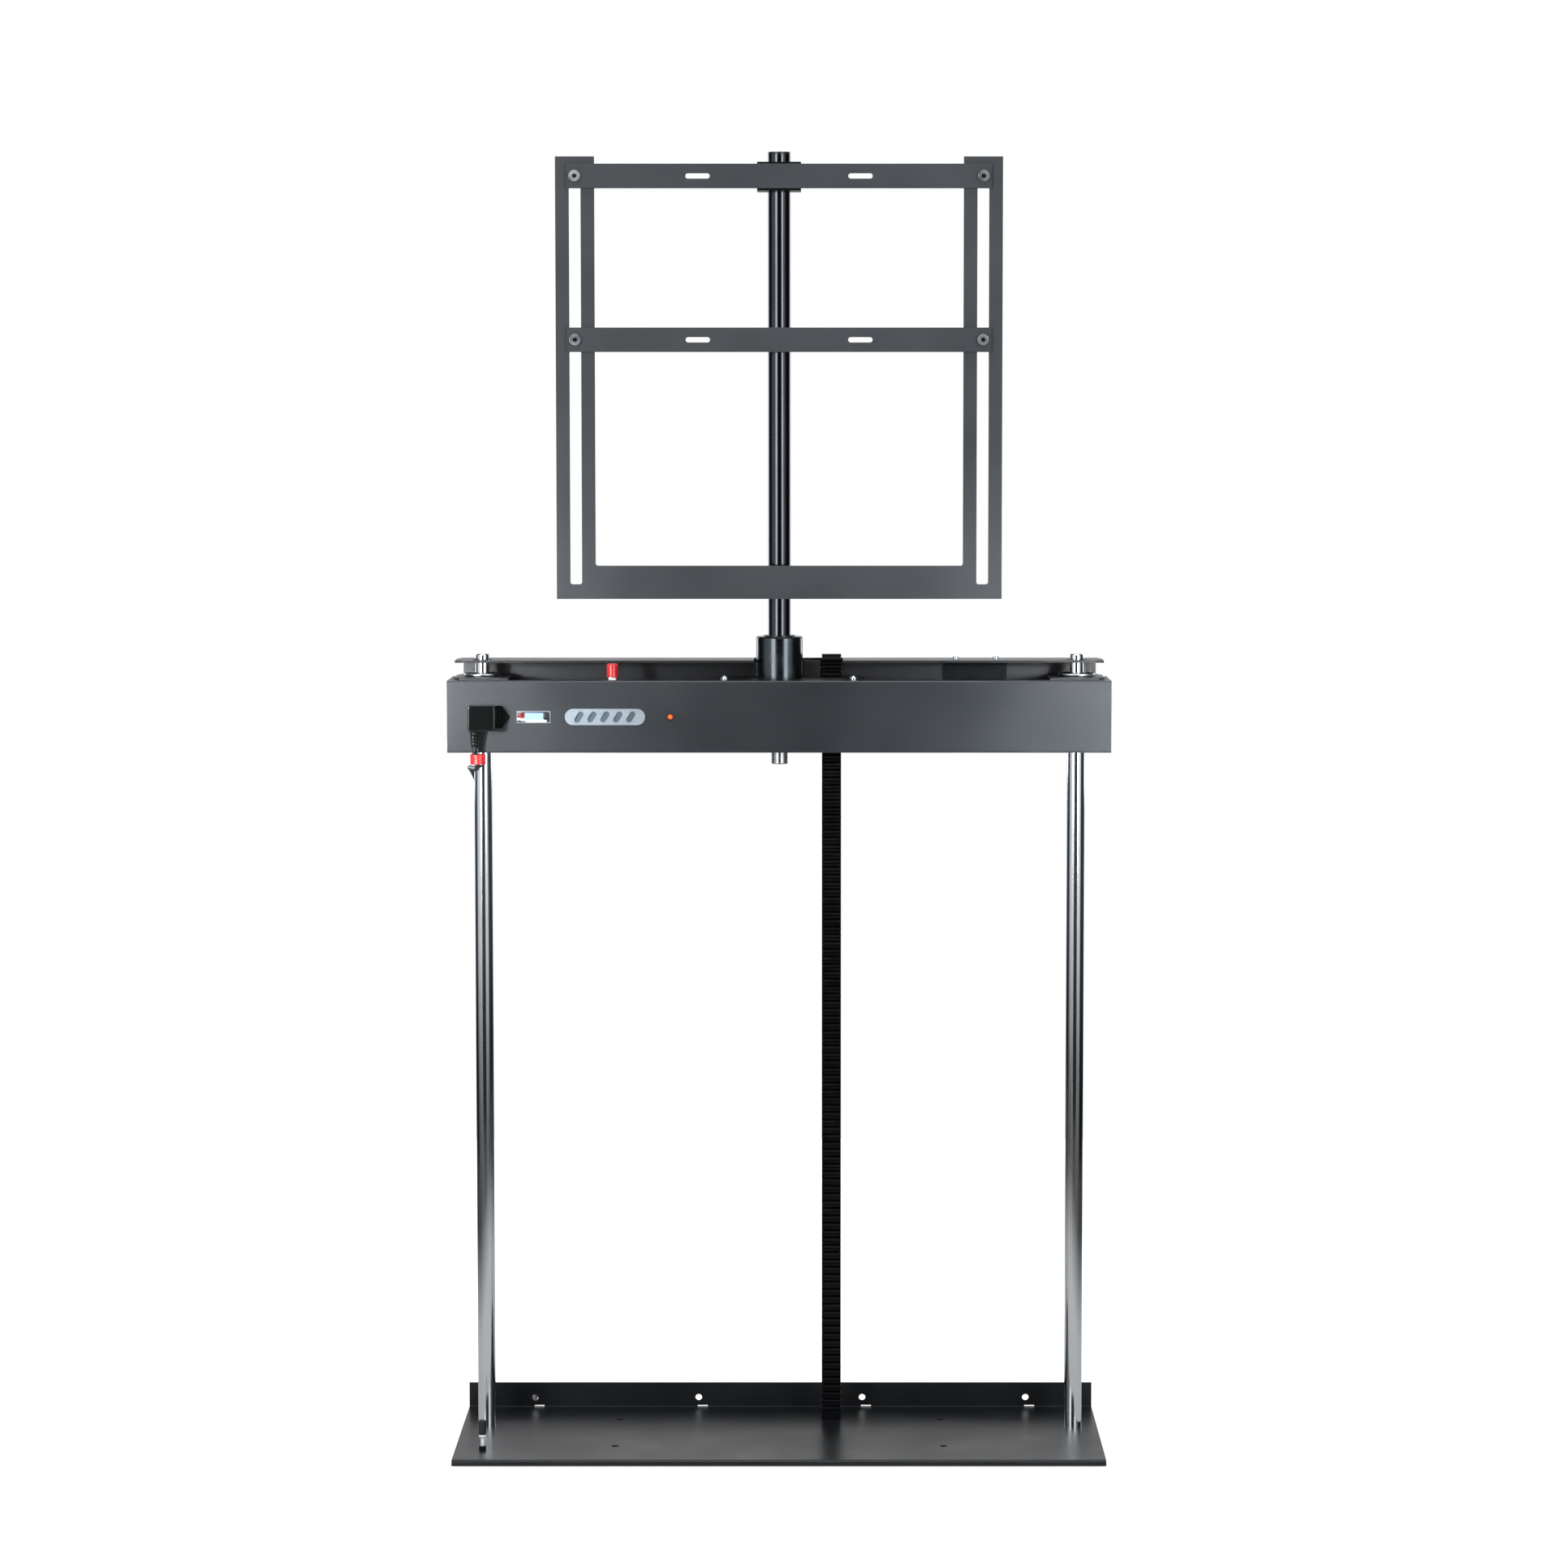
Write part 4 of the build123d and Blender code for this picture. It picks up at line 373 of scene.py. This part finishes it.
# Mains cord. Its routes repeat the part's own points, in millimetres, from the plug down behind
# the left column, over the base plate's flange and into the coil.
CORD_RADIUS = 0.003
HANGING_ROUTE = [
    (-375, -29.7, 872), (-375, -29.7, 861), (-372.5, -23.7, 850.5), (-373, -12.7, 844),
    (-378, 5, 843), (-385.5, 26, 842.5), (-386.5, 47, 841), (-382.5, 59, 832),
    (-377.5, 65, 818), (-375, 66.5, 793), (-374, 67, 745), (-373.2, 66.5, 675),
    (-373, 66, 595), (-373.4, 65.4, 510), (-374, 65, 425), (-374.6, 65.2, 340),
    (-375.2, 65, 255), (-376, 64.6, 172), (-376.6, 64.2, 102), (-376.9, 64, 58),
    (-377, 65, 33), (-377, 72, 19.5), (-377, 83, 11.1), (-377, 98, 11.1),
]
TAIL_ROUTE = [
    (-377, 98, 11.1), (-377, 113, 11.1), (-377.2, 125, 19.7), (-377.3, 130, 33.8),
    (-377.4, 142, 42.6), (-377.5, 157, 42.6), (-375, 170, 33.3), (-368, 178, 12.3),
    (-360, 191, 3.1), (-360, 209, 3.1),
]
COIL_RADII = (20, 36, 40, 44, 48)
COIL_CROSS_Y = 215
COIL_EXIT_RADIUS = 22
COIL_POINTS_PER_HALF = 7
COIL_START_X, FLOOR_Z = TAIL_ROUTE[-1][0], TAIL_ROUTE[-1][2]


def coil_route():
    """Half turns that widen from the eye: on each, points stand on a circle just outside the turn,
    so that a curve led by them runs on it; then a quarter turn out to the plug."""
    step = math.pi / COIL_POINTS_PER_HALF
    route, x = [], COIL_START_X
    for turn, radius in enumerate(COIL_RADII):
        side = 1 if turn % 2 == 0 else -1
        angle = (np.arange(COIL_POINTS_PER_HALF) + 0.5) * step
        outer = radius / math.cos(step / 2)
        route += [(x + side * (radius - outer * math.cos(a)),
                   COIL_CROSS_Y + side * outer * math.sin(a), FLOOR_Z) for a in angle]
        x += side * 2 * radius
    exit_y = COIL_CROSS_Y - COIL_EXIT_RADIUS
    route += [(x, COIL_CROSS_Y - 10, FLOOR_Z), (x + 5, exit_y + 5, FLOOR_Z),
              (x + 12, exit_y, FLOOR_Z), (x + COIL_EXIT_RADIUS, exit_y, FLOOR_Z),
              (x + COIL_EXIT_RADIUS + 6, exit_y, FLOOR_Z)]
    return route


def spline_curve(name, route_mm, bevel):
    """One open NURBS curve led by a route's points."""
    data = bpy.data.curves.new(name, "CURVE")
    data.dimensions = "3D"
    line = data.splines.new("NURBS")
    line.points.add(len(route_mm) - 1)
    for point, place in zip(line.points, route_mm):
        point.co = (place[0] * MM, place[1] * MM, place[2] * MM, 1)
    line.order_u = 3
    line.use_endpoint_u = True
    line.resolution_u = 8
    data.bevel_depth = bevel
    data.bevel_resolution = 5
    data.use_fill_caps = True
    made = bpy.data.objects.new(name, data)
    bpy.context.collection.objects.link(made)
    return made


def points_along(route_mm):
    """The points that Blender itself gives for a route's spline, in metres."""
    guide = spline_curve("guide", route_mm, 0)
    bpy.context.view_layer.update()
    worked_out = guide.evaluated_get(bpy.context.evaluated_depsgraph_get())
    mesh = bpy.data.meshes.new_from_object(worked_out)
    places = np.zeros(len(mesh.vertices) * 3)
    mesh.vertices.foreach_get("co", places)
    bpy.data.objects.remove(guide)
    return places.reshape(-1, 3)


# The hanging cord is one line in two pieces. Its head passes under the box and rides with it. The
# rest, from the place where the line comes out behind the box, stays with the base.
whole_line = points_along(HANGING_ROUTE)
HEAD_END_Y = 0.044
head_last = int(np.argmax(whole_line[:, 1] > HEAD_END_Y))
head_line, hanging_line = whole_line[:head_last + 1], whole_line[head_last:]
CORD_SIDES = 16


cord_head = tube_piece("mains_cord_head", head_line, CORD_RADIUS, cord_jacket, "carriage",
                       CORD_SIDES)
hanging_cord = tube_piece("mains_cord_hanging", hanging_line, CORD_RADIUS, cord_jacket, "base",
                          CORD_SIDES)
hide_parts("cord_hanging")
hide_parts("cord_hanging")
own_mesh(hanging_cord)

floor_cord = spline_curve("mains_cord_floor", TAIL_ROUTE + coil_route(), CORD_RADIUS)
floor_cord.data.materials.append(cord_jacket)
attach(floor_cord, "base")
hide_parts("cord_tail", "cord_coil")

# Tie over the coil's outer turns: an arch that is flattened by raising its sine to a power
TIE_X, TIE_Y, TIE_HALF_WIDTH, TIE_RISE, TIE_RADIUS = -350.0, 259, 8.6, 6.2, 0.9
tie_angle = np.linspace(0, math.pi, 17)
tie_path = np.stack([np.full(len(tie_angle), TIE_X), TIE_Y + TIE_HALF_WIDTH * np.cos(tie_angle),
                     1.0 + TIE_RISE * np.sin(tie_angle) ** 0.6], -1) * MM
tube_piece("coil_tie", tie_path, TIE_RADIUS * MM, rubber_black, "base", 10)

# Moulded ribs on the plug's strain relief: a cone that swells at every pitch, by the root of the
# positive half of a cosine
RELIEF_LENGTH, RELIEF_PITCH, RELIEF_BORE = 20, 4, 3.05
RELIEF_FOOT_RADIUS, RELIEF_TAPER, RIB_HEIGHT = 4.1, 0.085, 0.75
relief_height = np.linspace(0, RELIEF_LENGTH, 61)
swell = np.clip(np.cos(relief_height / RELIEF_PITCH * 2 * math.pi), 0, 1) ** 0.5
relief_radius = RELIEF_FOOT_RADIUS + RELIEF_TAPER * relief_height + RIB_HEIGHT * swell
relief_profile = [(RELIEF_BORE, 0), *zip(relief_radius, relief_height),
                  (RELIEF_BORE, RELIEF_LENGTH), (RELIEF_BORE, 0)]
turned_piece("plug_relief_ribs", relief_profile, (-375, -29.7, 872.4), (0, 0, 1), gloss_moulding,
             "carriage")

# Finger grips on both sides of the angled plug
for number, grip_z in enumerate((898, 902.5, 907, 911.5, 916)):
    for side, grip_x in (("left", -382.9), ("right", -349.1)):
        pillow_block(f"plug_grip_{side}_{number}", (grip_x, -30.5, grip_z), (0.7, 8, 1.1), 0.4,
                     gloss_moulding, "carriage", 8)

# Bezel of the lamp and rims of the column bearings
COVER_FACE_Y, FITTINGS_Z = -15, 908.5
COLUMN_X, COLUMN_Y, BEARING_TOP = 370, 45, 957.4
lamp_ring = [(3.05, 0), (4.6, 0), (4.6, 0.6), (4.2, 1.0), (3.5, 1.0), (3.05, 0.6), (3.05, 0)]
turned_piece("lamp_bezel", lamp_ring, (-134.5, COVER_FACE_Y, FITTINGS_Z), (0, -1, 0),
             black_moulding, "carriage")
bearing_rim = [(19.6, 0), (23.3, 0), (23.5, 0.6), (23.2, 1.5), (22.4, 1.9), (20.2, 1.9),
               (19.6, 1.4), (19.6, 0)]
for side, rim_x in (("left", -COLUMN_X), ("right", COLUMN_X)):
    turned_piece(f"bearing_rim_{side}", bearing_rim, (rim_x, COLUMN_Y, BEARING_TOP), (0, 0, 1),
                 zinc_steel, "carriage")

# Loose wires to the left of the small port's block, and a black connector to its right. A wire
# runs across, bows out by half a wave and rises and falls by a whole one. The table gives its
# colour, finish, slot, height, lift and radius.
PORT_WIRES = (("brown", wire_brown, "cord_jacket", 912.2, -1.2, 1.3),
              ("red", red_moulding, "red_plastic", 909.6, 0.9, 0.9),
              ("white", white_moulding, "white_plastic", 905.6, 0.7, 1.7),
              ("grey", pale_moulding, "white_plastic", 913.6, 0.6, 0.9))
WIRE_START_X, WIRE_LENGTH, WIRE_Y, WIRE_BOW = -323, 9.2, -14.8, 1.1
along_wire = np.linspace(0, 1, 13)
for label, finish, slot, wire_z, lift, wire_radius in PORT_WIRES:
    wire_path = np.stack([WIRE_START_X + WIRE_LENGTH * along_wire,
                          WIRE_Y - WIRE_BOW * np.sin(math.pi * along_wire),
                          wire_z + lift * np.sin(2 * math.pi * along_wire)], -1) * MM
    tube_piece(f"port_wire_{label}", wire_path, wire_radius * MM, finish, "carriage", 10)
pillow_block("port_side_connector", (-287.2, -14.2, 910.4), (3.4, 1.9, 3.4), 0.3, black_moulding,
             "carriage", 10)
pillow_block("port_lower_bar", (-300, -15.4, 903.6), (13.5, 0.8, 1.3), 0.4, white_moulding,
             "carriage", 10)

# Blue-grey panel that closes the louvred insert's slots from behind. Its tone is the pale louvres'
# own blue-grey, darkened by painted shade
vent_painted_shade_panel = moulded("blue_grey_painted_shade_panel", "#4a5963", "#5e6e79", 0.4, 2, 0.1)
pillow_block("vent_painted_shade_panel", (-215, -12.9, FITTINGS_Z), (44, 0.6, 8.3), 0.2, vent_painted_shade_panel,
             "carriage", 12)


# Hexagon sockets in the screw heads, drawn as thin dark discs whose dark is painted shade of the
# recesses
def socket(name, place_mm, axis, across, body):
    """A dark hexagon on a screw head, painted shade of the socket's recess: a lathe form with six
    sides.
    """
    thick = 0.12
    turned_piece(name, [(0, thick), (across / 2, thick), (across / 2, 0), (0, 0)], place_mm, axis,
                 blackened_steel, body, 6)


def both_sides(half_span, levels):
    """Places left and right of the middle, at each level."""
    return [(side * half_span, level) for side in (-1, 1) for level in levels]


for number, screw_x in enumerate((220, 270)):
    socket(f"hanger_socket_{number}", (screw_x, 62, 978.5), (0, 0, 1), 4, "carriage")
for number, (screw_x, screw_z) in enumerate(both_sides(251, (1372, 1572))):
    socket(f"rail_socket_{number}", (screw_x, 2, screw_z), (0, -1, 0), 6, "screen_mast")
for number, (screw_x, screw_z) in enumerate(both_sides(20.5, (1073.5, 1572))):
    socket(f"clamp_socket_{number}", (screw_x, 68.5, screw_z), (0, 1, 0), 4.5, "screen_mast")

# Rolled rings of the motor can and cooling ribs of the gearbox, round the drive's axis
DRIVE_Y, DRIVE_Z = 47.5, 909
motor_ring = [(24.6, -1.6), (25.7, -1.1), (25.9, 0), (25.7, 1.1), (24.6, 1.6), (24.6, -1.6)]
for number, ring_x in enumerate((152.5, 180)):
    turned_piece(f"motor_ring_{number}", motor_ring, (ring_x, DRIVE_Y, DRIVE_Z), (1, 0, 0),
                 motor_enamel, "carriage")
gearbox_rib = [(27.6, -1.2), (28.9, -0.6), (28.9, 0.6), (27.6, 1.2), (27.6, -1.2)]
for number in range(7):
    turned_piece(f"gearbox_rib_{number}", gearbox_rib, (94 + number * 8, DRIVE_Y, DRIVE_Z),
                 (1, 0, 0), cast_alloy, "carriage")

# Parts on the control board: four round capacitors, given by place, radius and length, and two
# connectors. Then the ribs of the supply.
CAPACITORS = ((-322, 905, 4.5, 11), (-309, 905, 4.5, 11), (-297, 906, 3.5, 8), (-281, 905, 4, 10))
for number, (cap_x, cap_z, cap_radius, cap_length) in enumerate(CAPACITORS):
    can = [(0, 0), (cap_radius, 0), (cap_radius, 1), (cap_radius * 0.93, 1.4), (cap_radius, 1.9),
           (cap_radius, cap_length - 0.5), (cap_radius - 0.6, cap_length), (0, cap_length - 0.2)]
    turned_piece(f"board_capacitor_{number}", can, (cap_x, 5.6, cap_z), (0, 1, 0), motor_enamel,
                 "carriage", 24)
for number, (box_x, box_z) in enumerate(((-316, 930), (-288, 930))):
    pillow_block(f"board_connector_{number}", (box_x, 8.9, box_z), (8, 3.3, 4), 0.25,
                 white_moulding, "carriage", 10)
for number in range(6):
    pillow_block(f"supply_rib_{number}", (-252 + number * 18, 34, 931.4), (2, 20, 1.1), 0.35,
                 cast_alloy, "carriage", 10)

# Grips on the mains plug that lies by the coil
for number in range(5):
    pillow_block(f"mains_grip_{number}", (-254 + number * 5, 193, 25.0), (1.1, 9, 0.8), 0.4,
                 black_moulding, "base", 8)


# Floor, world and lamps
FLOOR_REACH = 2.3
PAPER_NEAR, PAPER_FAR = 0.9, 1.7


def floor_material():
    """Matt white paper: it takes the part's shadow and shows almost white to the camera. Bright
    metal mirrors it as a sheet that ends about a metre and a half away."""
    material, tree = blank("matt_white_paper")
    fibre = stretched_noise(tree, 40, detail=2)
    colour = tinted(tree, fibre, "#f4f4f4", "#f8f8f8")
    path = add(tree, "ShaderNodeLightPath")
    glow = add(tree, "ShaderNodeMath", {"operation": "MULTIPLY", 1: 0.6},
               {0: path.outputs["Is Camera Ray"]})
    place = add(tree, "ShaderNodeTexCoord")
    reach_out = add(tree, "ShaderNodeVectorMath", {"operation": "LENGTH"},
                    {0: place.outputs["Object"]})
    far = add(tree, "ShaderNodeMapRange",
              {"From Min": PAPER_NEAR, "From Max": PAPER_FAR, "To Min": 0.35, "To Max": 0.93},
              {"Value": reach_out.outputs["Value"]})
    mirrored = add(tree, "ShaderNodeMath", {"operation": "MULTIPLY"},
                   {0: far.outputs["Result"], 1: path.outputs["Is Glossy Ray"]})
    paper = add(tree, "ShaderNodeMix", {"data_type": "RGBA", 7: linear("#000000")},
                {0: mirrored.outputs["Value"], 6: colour.outputs[2]})
    close(tree, add(tree, "ShaderNodeBsdfPrincipled",
                    {"Roughness": 0.9, "Specular IOR Level": 0.1,
                     "Emission Color": (1, 1, 1, 1)},
                    {"Base Color": paper.outputs[2], "Emission Strength": glow.outputs["Value"]}))
    return material


floor_mesh = bpy.data.meshes.new("floor")
floor_corners = [(x * FLOOR_REACH, y * FLOOR_REACH, 0)
                 for x, y in ((-1, -1), (1, -1), (1, 1), (-1, 1))]
floor_mesh.from_pydata(floor_corners, [], [(0, 1, 2, 3)])
floor_mesh.materials.append(floor_material())
floor = bpy.data.objects.new("floor", floor_mesh)
floor.location = (0, 0, -0.0005)
bpy.context.collection.objects.link(floor)

# The world is white to the camera, grey as light, and a room to whatever mirrors it
world = bpy.data.worlds.new("studio")
bpy.context.scene.world = world
world.use_nodes = True
sky = world.node_tree
sky.nodes.clear()
light_path = add(sky, "ShaderNodeLightPath")
heading = add(sky, "ShaderNodeTexCoord")
axes = add(sky, "ShaderNodeSeparateXYZ", None, {"Vector": heading.outputs["Generated"]})
forward = add(sky, "ShaderNodeMath", {"operation": "MULTIPLY", 1: -1.0}, {0: axes.outputs["Y"]})
bearing = add(sky, "ShaderNodeMath", {"operation": "ARCTAN2"},
              {0: axes.outputs["X"], 1: forward.outputs["Value"]})
turned = add(sky, "ShaderNodeMapRange", {"From Min": -math.pi, "From Max": math.pi},
             {"Value": bearing.outputs["Value"]})
room = add(sky, "ShaderNodeValToRGB", None, {"Fac": turned.outputs["Result"]})
# Bearing in degrees from the camera's side, and how bright the room is there: two soft boxes,
# black flags between and beside them, and white paper at the back
ROOM = ((-180, "#e0e0e0"), (-160, "#9a9da2"), (-138, "#464a52"), (-98, "#363a41"), (-86, "#8f949b"),
        (-70, "#f2f2f2"), (-28, "#ffffff"), (-21, "#4a4d50"), (18, "#3a3d40"), (25, "#f4f4f4"),
        (58, "#ffffff"), (70, "#41454b"), (98, "#363a41"), (138, "#464a52"), (160, "#9a9da2"),
        (180, "#e0e0e0"))
stops = room.color_ramp.elements
stops[0].color, stops[1].color = linear(ROOM[0][1]), linear(ROOM[-1][1])
for degrees, tone in ROOM[1:-1]:
    stops.new((degrees + 180) / 360).color = linear(tone)
# A dark strip of the studio's floor lies past the paper's edge, about ten degrees below the
# horizon. The numbers are sines of angles: the strip's middle, where it starts to fade and where
# it ends, above and below that.
STRIP_MIDDLE, STRIP_FADE, STRIP_END = 0.178, 0.028, 0.07
from_strip = add(sky, "ShaderNodeMath", {"operation": "ADD", 1: STRIP_MIDDLE},
                 {0: axes.outputs["Z"]})
off_strip = add(sky, "ShaderNodeMath", {"operation": "ABSOLUTE"}, {0: from_strip.outputs["Value"]})
sunken = add(sky, "ShaderNodeMapRange",
             {"From Min": STRIP_FADE, "From Max": STRIP_END, "To Min": 0.08},
             {"Value": off_strip.outputs["Value"]})
dimmed = add(sky, "ShaderNodeMix", {"data_type": "RGBA", 6: linear("#000000")},
             {0: sunken.outputs["Result"], 7: room.outputs["Color"]})
seen = add(sky, "ShaderNodeMath", {"operation": "MAXIMUM"},
           {0: light_path.outputs["Is Camera Ray"], 1: light_path.outputs["Is Transmission Ray"]})
plain = add(sky, "ShaderNodeMix", {"data_type": "RGBA", 6: linear("#a8a8a8")},
            {0: light_path.outputs["Is Glossy Ray"], 7: dimmed.outputs[2]})
shown = add(sky, "ShaderNodeMix", {"data_type": "RGBA", 7: (1, 1, 1, 1)},
            {0: seen.outputs["Value"], 6: plain.outputs[2]})
backdrop = add(sky, "ShaderNodeBackground", {"Strength": 1.0}, {"Color": shown.outputs[2]})
add(sky, "ShaderNodeOutputWorld", None, {"Surface": backdrop.outputs["Background"]})


PART_MIDDLE = (0, 0, 0.85)


def soft_box(name, place, size, power, target=PART_MIDDLE, spread_degrees=180):
    """A flat lamp that faces a place on the part. A grid over it narrows its beam."""
    data = bpy.data.lights.new(name, "AREA")
    data.shape = "RECTANGLE"
    data.size, data.size_y = size
    data.energy = power
    data.spread = math.radians(spread_degrees)
    lamp = bpy.data.objects.new(name, data)
    lamp.location = place
    aim = Vector(target) - Vector(place)
    lamp.rotation_euler = aim.to_track_quat("-Z", "Y").to_euler()
    bpy.context.collection.objects.link(lamp)


# Two large lamps in front, one above and two behind. Two gridded ones brighten the box's ends.
soft_box("left_soft_box", (-1.75, -3.1, 1.5), (1.2, 2.2), 50)
soft_box("right_soft_box", (1.9, -3.0, 1.5), (1.1, 2.2), 42)
soft_box("top_soft_box", (0, -0.6, 4.2), (2.4, 2.0), 45)
soft_box("rear_left_fill", (-2.1, 2.7, 1.5), (1.2, 2.0), 24)
soft_box("rear_right_fill", (2.1, 2.7, 1.5), (1.2, 2.0), 24)
soft_box("left_gridded_lamp", (-1.35, -1.6, 1.1), (0.4, 0.4), 2.7, (-0.6, 0, 0.9), 20)
soft_box("right_gridded_lamp", (1.35, -1.6, 1.1), (0.4, 0.4), 2.7, (0.58, 0, 0.9), 20)

bpy.context.view_layer.update()
